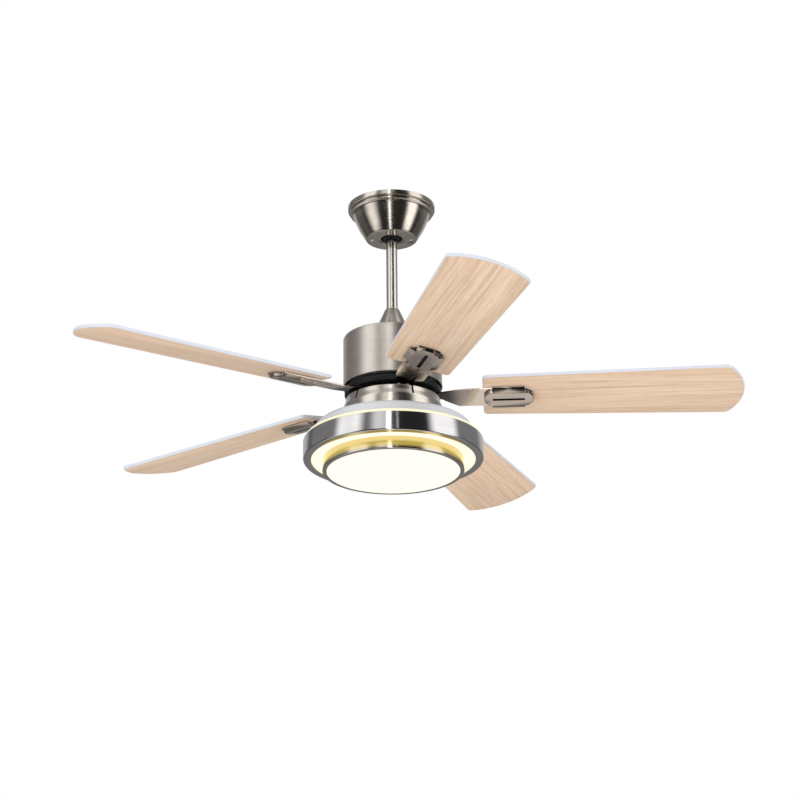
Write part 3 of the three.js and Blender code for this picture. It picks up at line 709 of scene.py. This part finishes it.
def make_canopy():
    made = lathe("canopy_shell", canopy_profile(), brushed_nickel, segments=192, steps=5)
    floor = low("canopy").z
    low_z, high_z = floor - 2 * MM, floor + 4 * MM
    left = cutter("left_hole", circle(-SCREW_X, 0, 2.6 * MM), low_z, high_z)
    # The keyhole: a slot for the screw's shank that ends in a circle wide enough for its head.
    slot, entry_radius, entry_y, steps = 2.6 * MM, 4.4 * MM, 12 * MM, 24
    start = math.asin(slot / entry_radius)
    angles = [start + (math.tau - 2 * start) * i / steps for i in range(steps + 1)]
    circle_points = [(SCREW_X + entry_radius * math.sin(a), entry_y - entry_radius * math.cos(a))
                     for a in angles]
    keyhole = [(SCREW_X - slot, -slot), (SCREW_X + slot, -slot), *circle_points]
    entry = cutter("keyhole", keyhole, low_z, high_z)
    carved(made, left, entry)
    placed(made, "mount", "brushed_nickel", "canopy")


make_canopy()

# %% [markdown]
# ## Rod and coupling cover
# The downrod is drawn pipe, brushed along its length, so its highlights are narrow upright stripes.
# The coupling cover hides the joint between rod and motor. It is a plain cone with a round shoulder,
# and slides up the rod when someone needs the pin inside.

# %% Rod and coupling cover
def make_downrod():
    outer, top, bottom = radius_of("downrod"), high("downrod").z, low("downrod").z
    inner = outer - 2.4 * MM
    edge = 0.5 * MM
    corners = [(outer, bottom, edge), (outer, top, edge), (inner, top, edge), (inner, bottom, edge)]
    made = lathe("rod", corners, rod_nickel, segments=96)
    pin_z = (low("ball_pin").z + high("ball_pin").z) / 2
    yoke_z = (low("yoke_pin").z + high("yoke_pin").z) / 2
    tools = []
    for name, z in (("ball_hole", pin_z), ("yoke_hole", yoke_z)):
        tools.append(sweep_sections(name, [[(x, p[0], z + p[1]) for p in circle(0, 0, 2.8 * MM, 24)]
                                           for x in (-30 * MM, 30 * MM)]))
    carved(made, *tools)
    placed(made, "suspension", "brushed_nickel", "downrod")


def make_coupling_cover():
    top, bottom = high("coupling_cover").z, low("coupling_cover").z
    foot = radius_of("coupling_cover")
    shoulder, bore, wall = 13.7 * MM, 11.2 * MM, 1.4 * MM
    shell = [(bore, top, 0.4 * MM), (shoulder, top, 2.8 * MM), (foot, bottom, 0.6 * MM),
             (foot - wall, bottom), (shoulder, top - 4 * MM), (bore, top - 3 * MM, 0.4 * MM)]
    made = lathe("coupling_shell", shell, brushed_nickel, segments=128, steps=6)
    placed(made, "cover", "brushed_nickel", "coupling_cover")


make_downrod()
make_coupling_cover()

# %% [markdown]
# ## Motor cover
# The motor cover is a plain deep cup, and its only features are the soft radius round its top and a
# rolled lip at its mouth. It is one more profile swept round the axis.

# %% Motor cover
def make_motor_cover():
    radius, top, bottom = radius_of("motor_cover"), high("motor_cover").z, low("motor_cover").z
    bore = 9 * MM
    lip = 2.4 * MM
    side = radius - 0.8 * MM
    corners = [(bore, top, 0.3 * MM), (side, top, 3.2 * MM), (side, bottom + lip, 0.4 * MM),
               (radius, bottom + lip - 0.6 * MM, 0.4 * MM), (radius, bottom, 0.8 * MM),
               (radius - 2 * SHEET, bottom, 0.5 * MM), (radius - 2 * SHEET, bottom + lip),
               (radius - 2 * SHEET, top - 4 * MM, 2 * MM), (radius - 5 * MM, top - SHEET, 1 * MM),
               (bore, top - SHEET, 0.3 * MM)]
    made = lathe("motor_shell", corners, satin_nickel, segments=192, steps=6)
    placed(made, "suspension", "brushed_nickel", "motor_cover")


make_motor_cover()

# %% [markdown]
# A slot, a screw or a rib that repeats is better made once and copied by a geometry tree. `Tree` is the
# same idea as `Finish`: it names the tree's inputs, adds its nodes, and ends every tree in the same
# way. The inputs are set by their identifiers before the tree is first run, and the result is a plain
# mesh.


# %% Geometry Nodes helper
class Tree:
    """A geometry node tree being built: named inputs first, then nodes, then `finish`."""

    def __init__(self, name):
        self.group = bpy.data.node_groups.new(name, "GeometryNodeTree")
        self.group.interface.new_socket("Geometry", in_out="INPUT", socket_type="NodeSocketGeometry")
        self.group.interface.new_socket("Geometry", in_out="OUTPUT", socket_type="NodeSocketGeometry")
        self.start = self.group.nodes.new("NodeGroupInput")
        self.sockets = {}

    def input(self, name, kind, value=None):
        item = self.group.interface.new_socket(name, in_out="INPUT", socket_type="NodeSocket" + kind)
        if value is not None:
            item.default_value = value
        self.sockets[name] = item.identifier
        return Field(self.group, self.start.outputs[name])

    def geometry(self):
        return self.start.outputs["Geometry"]

    def node(self, kind, settings=None, inputs=None, output=0):
        made = add_node(self.group, kind, settings, inputs)
        return socket_of(made.outputs, output)

    def finish(self, geometry, material):
        """Every tree ends the same way: real geometry, then its material."""
        real = self.node("GeometryNodeRealizeInstances", inputs={0: geometry})
        coated = self.node("GeometryNodeSetMaterial", inputs={"Geometry": real, "Material": material})
        output = self.group.nodes.new("NodeGroupOutput")
        self.group.links.new(coated, output.inputs[0])

    def run(self, host, **values):
        """Runs the tree on a host object and leaves the host with the plain result."""
        modifier = host.modifiers.new(self.group.name, "NODES")
        modifier.node_group = self.group
        for name, value in values.items():
            modifier[self.sockets[name.replace("_", " ")]] = value
        baked(host)
        host.data.set_sharp_from_angle(angle=math.radians(CREASE))
        return host


# %% [markdown]
# The first tree sets one part round the axis, as many times as asked. The part is made at its own
# distance from the axis, so each copy only has to be turned by an equal step.


# %% Parts round a circle
def circle_tree():
    """Copies of one object set round a circle, each turned to face out."""
    tree = Tree("parts_round_a_circle")
    part = tree.input("Part", "Object")
    count = tree.input("Count", "Int", 1)
    first = tree.input("First Angle", "Float", 0.0)
    material = tree.input("Material", "Material")
    points = tree.node("GeometryNodePoints", inputs={"Count": count})
    number = Field(tree.group, tree.node("GeometryNodeInputIndex"))
    turn = tree.node("ShaderNodeCombineXYZ", inputs={"Z": first + number * math.tau / count})
    shape = tree.node("GeometryNodeObjectInfo", inputs={"Object": part}, output="Geometry")
    copies = tree.node("GeometryNodeInstanceOnPoints", inputs={
        "Points": points, "Instance": shape, "Rotation": turn})
    both = tree.group.nodes.new("GeometryNodeJoinGeometry")
    tree.group.links.new(tree.geometry(), both.inputs[0])
    tree.group.links.new(copies, both.inputs[0])
    tree.finish(both.outputs[0], material)
    return tree


parts_round = circle_tree()
print("trees:", parts_round.group.name)

# %% [markdown]
# ## Flywheel
# The flywheel under the motor cover turns with the blades: a black casting, machined round its rim,
# that carries the arms.


# %% Flywheel
def make_flywheel():
    radius, top, bottom = radius_of("flywheel"), high("flywheel").z, low("flywheel").z
    bore = 30 * MM
    corners = [(bore, bottom, 0.6 * MM), (radius, bottom, 2.0 * MM), (radius, top - 4 * MM, 1.6 * MM),
               (radius - 7 * MM, top, 1.6 * MM), (bore, top, 0.6 * MM)]
    made = lathe("flywheel_casting", corners, black_enamel, segments=160)
    placed(made, "rotor", "black_enamel", "flywheel")


make_flywheel()

# %% [markdown]
# ## Blades
# Each blade is a flat board with a long taper, small corner radii and a shallow arc for a tip. It sits
# pitched, and turned to its place round the hub. Instead of repeating those angles here, each blade's
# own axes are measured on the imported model: the mean normal of its upper face gives the pitch, and its
# middle gives the direction. A board could be extruded as a curve; a bmesh face with a bevelled rim
# gives a UV map in the same step.


# %% Blade axes
class Spoke:
    """One blade's own axes: X out along it, Y across it, Z up through its thickness."""
    FACES_UP = 0.5

    def __init__(self, number):
        self.number = number
        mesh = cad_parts[f"blade_{number}"].data
        up = Vector((0, 0, 0))
        for face in mesh.polygons:
            if face.normal.z > self.FACES_UP:
                up += face.normal * face.area
        up.normalize()
        centre = sum((v.co for v in mesh.vertices), Vector()) / len(mesh.vertices)
        out = Vector((centre.x, centre.y, 0)).normalized()
        across = up.cross(out)
        self.matrix = Matrix((out, across, out.cross(across))).transposed().to_4x4()
        self.matrix.translation = (0, 0, centre.z)
        self.inverse = self.matrix.inverted()

    def box(self, node):
        """A node's lowest and highest corner in this blade's axes."""
        points = [self.inverse @ v.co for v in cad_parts[node].data.vertices]
        return [Vector([pick(p[i] for p in points) for i in range(3)]) for pick in (min, max)]


BLADES = 5
spokes = [Spoke(number) for number in range(1, BLADES + 1)]
blade_low, blade_high = spokes[0].box("blade_1")
print("blade from", round(blade_low.x, 4), "to", round(blade_high.x, 4), "width", round(2 * blade_high.y, 4))

# %% [markdown]
# The outline has straight sides and an arc at the tip. Rings of it, drawn in a little at the top and
# bottom, round the edge all the way. Each board's pattern starts further along the same wood, so no two
# blades are alike. Only the face that is seen from the room is oak; the rest is lacquered.

# %% Blades
TIP_BULGE = 30 * MM
TIP_STEPS = 14
TIP_INSET = 3 * MM
ROOT_HALF = 62.5 * MM
ROOT_CORNER = 9 * MM
TIP_CORNER = 13 * MM
BLADE_EDGE = 1.3 * MM
BOARD_STEP = 0.37


def blade_outline():
    """Half widths at root and tip, joined by straight sides, with an arc across the tip."""
    root, tip, half = blade_low.x, blade_high.x, blade_high.y
    corner = tip - TIP_BULGE
    radius = (half ** 2 + TIP_BULGE ** 2) / (2 * TIP_BULGE)
    sweep = math.asin((half - TIP_INSET) / radius)
    angles = [sweep * (i / TIP_STEPS * 2 - 1) for i in range(1, TIP_STEPS)]
    arc = [(tip - radius + radius * math.cos(a), radius * math.sin(a)) for a in angles]
    corners = [(root, -ROOT_HALF, ROOT_CORNER), (corner, -half, TIP_CORNER), *arc,
               (corner, half, TIP_CORNER), (root, ROOT_HALF, ROOT_CORNER)]
    return rounded(corners, steps=6)


def make_blade(spoke):
    outline = blade_outline()
    thick = blade_high.z - blade_low.z
    shape = bmesh.new()
    grain = shape.loops.layers.uv.new("grain")
    rings = []
    # Rings from the underside to the top. The first and last are drawn in by the edge radius.
    profile = [(1.0, 0.0), (0.3, 0.12), (0.0, 0.4), (0.0, 0.6), (0.3, 0.88), (1.0, 1.0)]
    centre = Vector((sum(p.x for p in outline), sum(p.y for p in outline))) / len(outline)
    for inset, level in profile:
        ring = []
        for i, point in enumerate(outline):
            along = (outline[(i + 1) % len(outline)] - outline[i - 1]).normalized()
            inward = Vector((-along.y, along.x))
            if inward.dot(centre - point) < 0:
                inward.negate()
            at = point + inward * inset * BLADE_EDGE
            z = blade_low.z + thick * level
            ring.append(shape.verts.new((at.x, at.y, z)))
        rings.append(ring)
    for one, two in zip(rings, rings[1:]):
        for i in range(len(one)):
            j = (i + 1) % len(one)
            shape.faces.new((one[i], one[j], two[j], two[i])).material_index = 1
    shape.faces.new(rings[0]).material_index = 0
    shape.faces.new(rings[-1]).material_index = 1
    for face in shape.faces:
        for loop in face.loops:
            loop[grain].uv = (loop.vert.co.x, loop.vert.co.y + spoke.number * BOARD_STEP)
    shape.transform(spoke.matrix)
    made = to_object(f"oak_blade_{spoke.number}", shape, oak, lacquer, crease=40)
    made.visible_glossy = False
    placed(made, "rotor", "light_oak", f"blade_{spoke.number}")


for spoke in spokes:
    make_blade(spoke)

# %% [markdown]
# ## Blade arms
# An arm is a pressed strip: flat where it bolts under the flywheel, then folded aslant to the blade's
# pitch, and flat again under the blade. Sections along the strip make it, each section a thin rounded
# rectangle between two edge points, so the slanting fold is in the shape.

# %% Blade arms
arm_low, arm_high = spokes[0].box("blade_arm_1")
ARM_THICK = 2.6 * MM
ARM_EDGE = 0.8 * MM
ARM_GAP = 0.3 * MM
ARM_CREASE = 8


def arm_stations():
    """(near edge, far edge, how far folded); each edge is (distance out, distance across), in metres."""
    end = arm_high.x
    start = arm_low.x
    wide = 29 * MM
    return [
        ((start, -13 * MM), (start, 13 * MM), 0.0),
        ((start + 18 * MM, -16 * MM), (start + 18 * MM, 16 * MM), 0.0),
        ((start + 34 * MM, -20 * MM), (start + 29 * MM, 15 * MM), 0.0),
        ((start + 58 * MM, -26 * MM), (start + 44 * MM, 21 * MM), 0.6),
        ((start + 83 * MM, -28 * MM), (start + 62 * MM, 28 * MM), 1.0),
        ((start + 114 * MM, -wide), (start + 114 * MM, wide), 1.0),
        ((end - 10 * MM, -wide), (end - 10 * MM, wide), 1.0),
        ((end, -20 * MM), (end, 20 * MM), 1.0),
    ]


def make_arm(spoke):
    """Edge points blend from the flat root, under the flywheel, to the blade's pitched level."""
    out = spoke.matrix.col[0].to_3d()
    side = Vector((0, 0, 1)).cross(out)
    level = Matrix((out, side, Vector((0, 0, 1)))).transposed().to_4x4()
    level.translation = (0, 0, low("flywheel").z - ARM_GAP - ARM_THICK / 2)
    paddle_z = blade_low.z - ARM_GAP - ARM_THICK / 2
    sections = []
    for near, far, fold in arm_stations():
        ends = []
        for x, y in (near, far):
            flat_point = level @ Vector((x, y, 0))
            pitched_point = spoke.matrix @ Vector((x, y, paddle_z))
            ends.append(flat_point.lerp(pitched_point, fold))
        up = level.col[2].to_3d().lerp(spoke.matrix.col[2].to_3d(), fold).normalized()
        across = (ends[1] - ends[0]).normalized()
        half = ARM_THICK / 2
        near_side = [(ARM_EDGE, -half), (0.2 * ARM_EDGE, -half * 0.6), (0, 0),
                     (0.2 * ARM_EDGE, half * 0.6), (ARM_EDGE, half)]
        far_side = near_side[::-1]
        ring = [ends[0] + across * a + up * b for a, b in near_side]
        ring += [ends[1] - across * a + up * b for a, b in far_side]
        sections.append(ring)
    made = sweep_sections(f"arm_strip_{spoke.number}", sections, arm_nickel, crease=ARM_CREASE)
    made.visible_glossy = False
    placed(made, "rotor", "polished_nickel", f"blade_arm_{spoke.number}")


for spoke in spokes:
    make_arm(spoke)

# %% [markdown]
# ## Plaques
# The plaque that covers the blade's screws is a long octagon over a shorter band with sloping sides,
# with a slot in its middle. The two are joined by one boolean and the slot is cut by another, because a
# hand-built mesh would need every edge of the crossing worked out.

# %% Plaques
plaque_low, plaque_high = spokes[0].box("blade_plaque_1")
PLAQUE_FACE = 43 * MM
PLAQUE_BAND = 62 * MM
PLAQUE_EDGE = 1.2 * MM
PLAQUE_CREASE = 20
BAND_BEVEL = 0.7 * MM
SLOT_HALF_LENGTH = 31 * MM
SLOT_HALF_WIDTH = 3.4 * MM
SLOT_CORNER = 3.2 * MM


def octagon(centre, half_x, half_y, cut_x, cut_y, radius):
    corners = [(-half_x + cut_x, -half_y), (half_x - cut_x, -half_y), (half_x, -half_y + cut_y),
               (half_x, half_y - cut_y), (half_x - cut_x, half_y), (-half_x + cut_x, half_y),
               (-half_x, half_y - cut_y), (-half_x, -half_y + cut_y)]
    return rounded([(centre + x, y, radius) for x, y in corners], steps=3)


def plate_sections(outline_at, levels):
    """Rings of one outline at several heights, drawn in a little at each: (inset, height) pairs."""
    return [[(p.x, p.y, z) for p in outline_at(inset)] for inset, z in levels]


def make_plaque(spoke):
    middle = (plaque_low.x + plaque_high.x) / 2
    half_x, top, face = (plaque_high.x - plaque_low.x) / 2, plaque_high.z, plaque_low.z

    def face_outline(inset):
        return octagon(middle, half_x - inset, PLAQUE_FACE / 2 - inset, 9 * MM, 13 * MM, 1.5 * MM)

    levels = [(0, top), (0, face + PLAQUE_EDGE), (0.3 * PLAQUE_EDGE, face + 0.3 * PLAQUE_EDGE),
              (PLAQUE_EDGE, face)]
    plate = sweep_sections(f"plaque_{spoke.number}", plate_sections(face_outline, levels), plaque_nickel)
    wide, narrow = plaque_high.y, PLAQUE_FACE / 2 - 1 * MM
    lip, deep = top - 1.4 * MM, face + 0.5 * MM
    profile = [(-wide, lip), (-narrow, deep), (narrow, deep), (wide, lip), (wide, top), (-wide, top)]
    band = [[(middle + x, y, z) for y, z in profile] for x in (-PLAQUE_BAND / 2, PLAQUE_BAND / 2)]
    slopes = sweep_sections("slopes", band)
    bevel = slopes.modifiers.new("edge", "BEVEL")
    bevel.width = BAND_BEVEL
    bevel.segments = 3
    baked(slopes)
    joined = plate.modifiers.new("join", "BOOLEAN")
    joined.operation = "UNION"
    joined.object = slopes
    joined.solver = "EXACT"
    baked(plate)
    bpy.data.objects.remove(slopes)
    signs = [(-1, -1), (1, -1), (1, 1), (-1, 1)]
    slot = rounded([(middle + a * SLOT_HALF_LENGTH, b * SLOT_HALF_WIDTH, SLOT_CORNER) for a, b in signs])
    # The slot's walls and floor are lined with black enamel: painted shade for the dark recess.
    carved(plate, cutter("slot", slot, face - 1 * MM, top - 1.5 * MM, black_enamel))
    plate.data.transform(spoke.matrix)
    plate.data.set_sharp_from_angle(angle=math.radians(PLAQUE_CREASE))
    placed(plate, "rotor", "polished_nickel", f"blade_plaque_{spoke.number}")


for spoke in spokes:
    make_plaque(spoke)

# %% [markdown]
# ## Light kit
# The lower housing is a spun cup with five slots down from its top edge that let the air through. The
# slots are one cutter, copied round the axis by the tree and taken out by a boolean.

# %% Lower housing
HOUSING_SLOTS = 5
SLOT_ANGLE = math.radians(-66)
HOUSING_BORE = 9 * MM


def make_lower_housing():
    radius, top, bottom = radius_of("lower_housing"), high("lower_housing").z, low("lower_housing").z
    shoulder = radius - 5.5 * MM
    waist = shoulder + 1.6 * MM
    corners = [(HOUSING_BORE, top, 0.3 * MM), (shoulder, top, 3.2 * MM),
               (waist, top - 10 * MM, 20 * MM), (radius, top - 20 * MM, 14 * MM),
               (radius, bottom, 0.5 * MM), (radius - SHEET, bottom, 0.5 * MM),
               (radius - SHEET, top - 20 * MM, 13 * MM), (waist - SHEET, top - 10 * MM, 21 * MM),
               (shoulder - SHEET, top - SHEET, 2.2 * MM), (HOUSING_BORE, top - SHEET, 0.3 * MM)]
    made = lathe("housing_cup", corners, spun_nickel, segments=192, steps=5)
    half, foot = 2.0 * MM, top - 19 * MM
    flare = 4.5 * MM
    outline = rounded([(-half, foot, 1.8 * MM), (half, foot, 1.8 * MM),
                       (half, top - 2 * MM, flare), (half + flare, top + 1 * MM),
                       (-half - flare, top + 1 * MM), (-half, top - 2 * MM, flare)])
    slot_cut = sweep_sections("slot_cut", [[(x, p.x, p.y) for p in outline]
                                           for x in (shoulder - 9 * MM, radius + 5 * MM)])
    host = bpy.data.objects.new("slot_cuts", bpy.data.meshes.new("slot_cuts"))
    scene.collection.objects.link(host)
    parts_round.run(host, Part=slot_cut, Count=HOUSING_SLOTS, First_Angle=SLOT_ANGLE,
                    Material=brushed_nickel)
    bpy.data.objects.remove(slot_cut)
    carved(made, host)
    placed(made, "suspension", "brushed_nickel", "lower_housing")


make_lower_housing()

# %% [markdown]
# ## Acrylic dome
# Above the outer ring sits a shallow dome of frosted acrylic with a shelf round its foot. Only the rim
# below that shelf glows, and the same height decides it in the finish.


# %% Upper diffuser
def make_upper_diffuser():
    rim, top, bottom = radius_of("upper_diffuser"), high("upper_diffuser").z, low("upper_diffuser").z
    inner, dome = 94.4 * MM, rim - 16 * MM
    shelf, wall = bottom + 6.5 * MM, 2.5 * MM
    shoulder = shelf + 22 * MM
    corners = [(inner, top, 0.6 * MM), (inner + 20 * MM, top - 5 * MM, 60 * MM), (dome, shoulder, 14 * MM),
               (dome, shelf, 0.8 * MM), (rim, shelf - 0.6 * MM, 1.2 * MM), (rim, bottom, 0.4 * MM),
               (rim - wall, bottom, 0.4 * MM), (rim - wall, shelf - wall - 1 * MM),
               (dome - wall, shelf - wall),
               (dome - wall, shoulder - wall, 12 * MM), (inner + 20 * MM, top - 5 * MM - wall, 60 * MM),
               (inner, top - wall, 0.6 * MM)]
    made = lathe("dome_diffuser", corners, dome_acrylic(shelf), segments=192, steps=8)
    placed(made, "suspension", "frosted_acrylic", "upper_diffuser")


make_upper_diffuser()


# %% [markdown]
# ## Metal rings
# Two rolled bands, each with a lip turned in at its foot, hold the acrylic behind them. They share one
# function, and differ only in size and finish.


# %% Metal rings
def make_ring(name, node, lip_width, sheet, edge, finish):
    """A rolled band, turned in at its foot to a lip."""
    radius, top, bottom = radius_of(node), high(node).z, low(node).z
    lip = radius - lip_width
    corners = [(radius, top, 0.5 * MM), (radius, bottom, edge), (lip, bottom, 0.5 * MM),
               (lip, bottom + sheet, 0.5 * MM), (radius - sheet, bottom + sheet, 0.8 * MM),
               (radius - sheet, top, 0.5 * MM)]
    made = lathe(name, corners, finish, segments=240, steps=6)
    placed(made, "suspension", "brushed_nickel", node)


OUTER_LIP = 14.9 * MM
INNER_LIP = 8 * MM
BAND_SHEET = 1.5 * MM
# Painted light on the inner band: golden colour and glow between these heights, for the diffusers' reflected
# light.
GLOW_HEIGHTS = (low("inner_ring").z + 1.5 * MM, low("inner_ring").z + 8 * MM)
glow_nickel = brushed("glow_nickel", (0.7, 0.66, 0.6), (0.62, 0.58, 0.51), 0.16, depth=0.006, glow={
    "heights": GLOW_HEIGHTS, "metal": (0.4, 0.34, 0.22), "light": (0.47, 0.35, 0.08)})
make_ring("outer_band", "outer_ring", OUTER_LIP, BAND_SHEET, 2.6 * MM, bright_nickel)
make_ring("inner_band", "inner_ring", INNER_LIP, BAND_SHEET, 1.6 * MM, glow_nickel)

# %% [markdown]
# ## Diffusers
# A flat ring of acrylic fills the gap between the two bands and a thick disc fills the inner one. Both
# are plain profiles swept round the axis, and the glow is in their finish.


# %% Diffusers
def make_diffusers():
    ring_outer = radius_of("ring_diffuser")
    ring_top, ring_bottom = high("ring_diffuser").z, low("ring_diffuser").z
    opening = radius_of("outer_ring") - OUTER_LIP
    inner = 118 * MM
    glow = lit_acrylic("lit_ring", opening, (0.99, 0.95, 0.8), (0.96, 0.86, 0.55))
    corners = [(inner, ring_bottom, 0.6 * MM), (ring_outer, ring_bottom, 0.6 * MM),
               (ring_outer, ring_top, 0.6 * MM), (inner, ring_top, 0.6 * MM)]
    ring = lathe("ring_glow", corners, glow, segments=192)
    placed(ring, "suspension", "lit_acrylic", "ring_diffuser")
    seat = radius_of("centre_diffuser")
    top, bottom = high("centre_diffuser").z, low("centre_diffuser").z
    face = seat - 6.4 * MM
    step = low("inner_ring").z + 1.9 * MM
    glow = lit_acrylic("lit_centre", face, (0.99, 0.98, 0.86), (0.98, 0.95, 0.78))
    corners = [(0, bottom), (face, bottom, 1.2 * MM), (face, step), (seat, step, 0.4 * MM),
               (seat, top, 0.4 * MM), (0, top)]
    centre = lathe("centre_glow", corners, glow, segments=192)
    placed(centre, "suspension", "lit_acrylic", "centre_diffuser")


make_diffusers()

# %% [markdown]
# ## Screws
# Screws repeat, so one tree sets them. Its host is a bare mesh with one vertex for each screw and an
# attribute that says how it is turned. The head is a shallow dome with a cross pressed into it, a few
# dozen faces, because there are many copies.


# %% Screw shape
def make_screw_shape():
    """A unit screw head: radius 1, its flat side at the origin and its dome along +Z."""
    shape = bmesh.new()
    count = 16
    rows = [(1.0, 0.0), (1.0, 0.16), (0.9, 0.34), (0.66, 0.48), (0.36, 0.55)]
    rings = [[shape.verts.new((x, y, z)) for x, y in circle(0, 0, r, count)] for r, z in rows]
    for one, two in zip(rings, rings[1:]):
        for i in range(count):
            j = (i + 1) % count
            shape.faces.new((one[i], one[j], two[j], two[i]))
    shape.faces.new(rings[0])
    # The recess: four arms of the last two rings go down with the middle.
    pit = shape.verts.new((0, 0, 0.12))
    for i in range(count):
        if i % 4 == 0:
            rings[3][i].co.z = 0.30
            rings[4][i].co.z = 0.16
        shape.faces.new((rings[4][i], rings[4][(i + 1) % count], pit))
    return to_object("screw_shape", shape, crease=25)


def screw_tree():
    """Sets a part on every vertex of the host, turned as the host's attribute says."""
    tree = Tree("screws_on_points")
    part = tree.input("Part", "Object")
    size = tree.input("Size", "Float", 0.004)
    material = tree.input("Material", "Material")
    facing = tree.node("GeometryNodeInputNamedAttribute", {"data_type": "FLOAT_VECTOR"},
                       {"Name": "facing"})
    shape = tree.node("GeometryNodeObjectInfo", inputs={"Object": part}, output="Geometry")
    points = tree.node("GeometryNodeMeshToPoints", inputs={0: tree.geometry()})
    copies = tree.node("GeometryNodeInstanceOnPoints", inputs={
        "Points": points, "Instance": shape, "Rotation": facing, "Scale": size})
    tree.finish(copies, material)
    return tree


screw_shape = make_screw_shape()
screws = screw_tree()
print("screw head faces:", len(screw_shape.data.polygons))


def set_screws(name, body, slot, places, size, material, *nodes):
    """places is a list of (point, outward direction, spin of the cross)."""
    mesh = bpy.data.meshes.new(name)
    mesh.from_pydata([point for point, _, _ in places], [], [])
    facing = mesh.attributes.new("facing", "FLOAT_VECTOR", "POINT")
    for i, (_, outward, spin) in enumerate(places):
        turn = Vector(outward).to_track_quat("Z", "Y").to_matrix() @ Matrix.Rotation(spin, 3, "Z")
        facing.data[i].vector = turn.to_euler()
    host = bpy.data.objects.new(name, mesh)
    scene.collection.objects.link(host)
    screws.run(host, Part=screw_shape, Size=size, Material=material)
    placed(host, body, slot, *nodes)


# %% [markdown]
# Two screws hold the canopy up. Three go down through each blade from the top into its arm, and two
# hold each arm to the flywheel. Each set is one object, because a set moves with one body.


# %% Set the screws
CANOPY_SCREW_HEAD = 4.0 * MM
ROTOR_SCREW_HEAD = 3.6 * MM


def canopy_screws():
    face = low("canopy").z - 0.1 * MM
    places = [(Vector((side * SCREW_X, 0, face)), (0, 0, -1), 0.4 + side) for side in (-1, 1)]
    set_screws("canopy_screws", "mount", "polished_nickel", places, CANOPY_SCREW_HEAD,
               polished_nickel, "canopy_screw_left", "canopy_screw_right")


def rotor_screws():
    """Three through each blade from the top, and two that hold each arm to the flywheel."""
    places = []
    arm_face = low("flywheel").z - ARM_GAP - ARM_THICK
    for spoke in spokes:
        up = spoke.matrix.col[2].to_3d()
        for i, (x, y) in enumerate([(195, -17), (195, 17), (240, 0)]):
            point = spoke.matrix @ Vector((x * MM, y * MM, blade_high.z))
            places.append((point, up, spoke.number + i * 0.7))
        out = spoke.matrix.col[0].to_3d()
        side = Vector((0, 0, 1)).cross(out)
        for i, across in enumerate((-8 * MM, 8 * MM)):
            point = out * 74 * MM + side * across + Vector((0, 0, arm_face))
            places.append((point, (0, 0, -1), spoke.number * 2 + i))
    set_screws("rotor_screws", "rotor", "polished_nickel", places, ROTOR_SCREW_HEAD, polished_nickel)


canopy_screws()
rotor_screws()
bpy.data.objects.remove(screw_shape)

# %% [markdown]
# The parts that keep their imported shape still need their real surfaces. Their meshes are not touched,
# only the material in their slots.

# %% Finish the inner parts
INNER_FINISHES = {
    zinc: ["hanger_bracket", "ball_pin", "yoke_pin", "cotter_pin", "lower_mount_plate", "shaft_nut",
           "light_pan", "inner_pan"],
    cast_aluminium: ["motor_yoke", "rotor_upper_shell", "rotor_lower_shell"],
    ground_steel: ["motor_shaft", "upper_bearing_inner", "lower_bearing_inner", "upper_bearing_outer",
                   "lower_bearing_outer"],
    core_steel: ["stator_core"],
    copper_wire: ["upper_winding", "lower_winding"],
    ferrite: ["magnet_ring"],
    nylon: ["terminal_block", "led_driver"],
    # The hanger ball takes this near-black plastic partly as painted shade for the canopy's hole.
    dark_plastic: ["receiver_box", "hanger_ball", "ball_seat_ring", "capacitor"],
    board_white: ["upper_led_board", "outer_led_board", "centre_led_board"],
}

for finish, names in INNER_FINISHES.items():
    for name in names:
        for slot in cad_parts[name].material_slots:
            slot.material = finish
print("inner parts finished:", sum(len(names) for names in INNER_FINISHES.values()))

# %% [markdown]
# A plain pale floor lies under the fan. It is out of the main view, but it shows when the fan is seen
# from above. Mirror rays pass it by, as they do the blades and arms, so that the rings reflect only
# the sky.


# %% Floor
FLOOR_DROP = 4.6
FLOOR_RADIUS = 60.0


def make_floor():
    shape = bmesh.new()
    bmesh.ops.create_circle(shape, cap_ends=True, segments=96, radius=FLOOR_RADIUS)
    shape.transform(Matrix.Translation((0, 0, -FLOOR_DROP)))
    made = Finish("pale_floor", base_color=(0.86, 0.86, 0.85, 1))
    x, y, z = made.place()
    made.link("Roughness", 0.6 + 0.2 * made.noise(made.vector(x * 3, y * 3, z)))
    floor = to_object("floor", shape, made.material)
    floor.visible_glossy = False


make_floor()
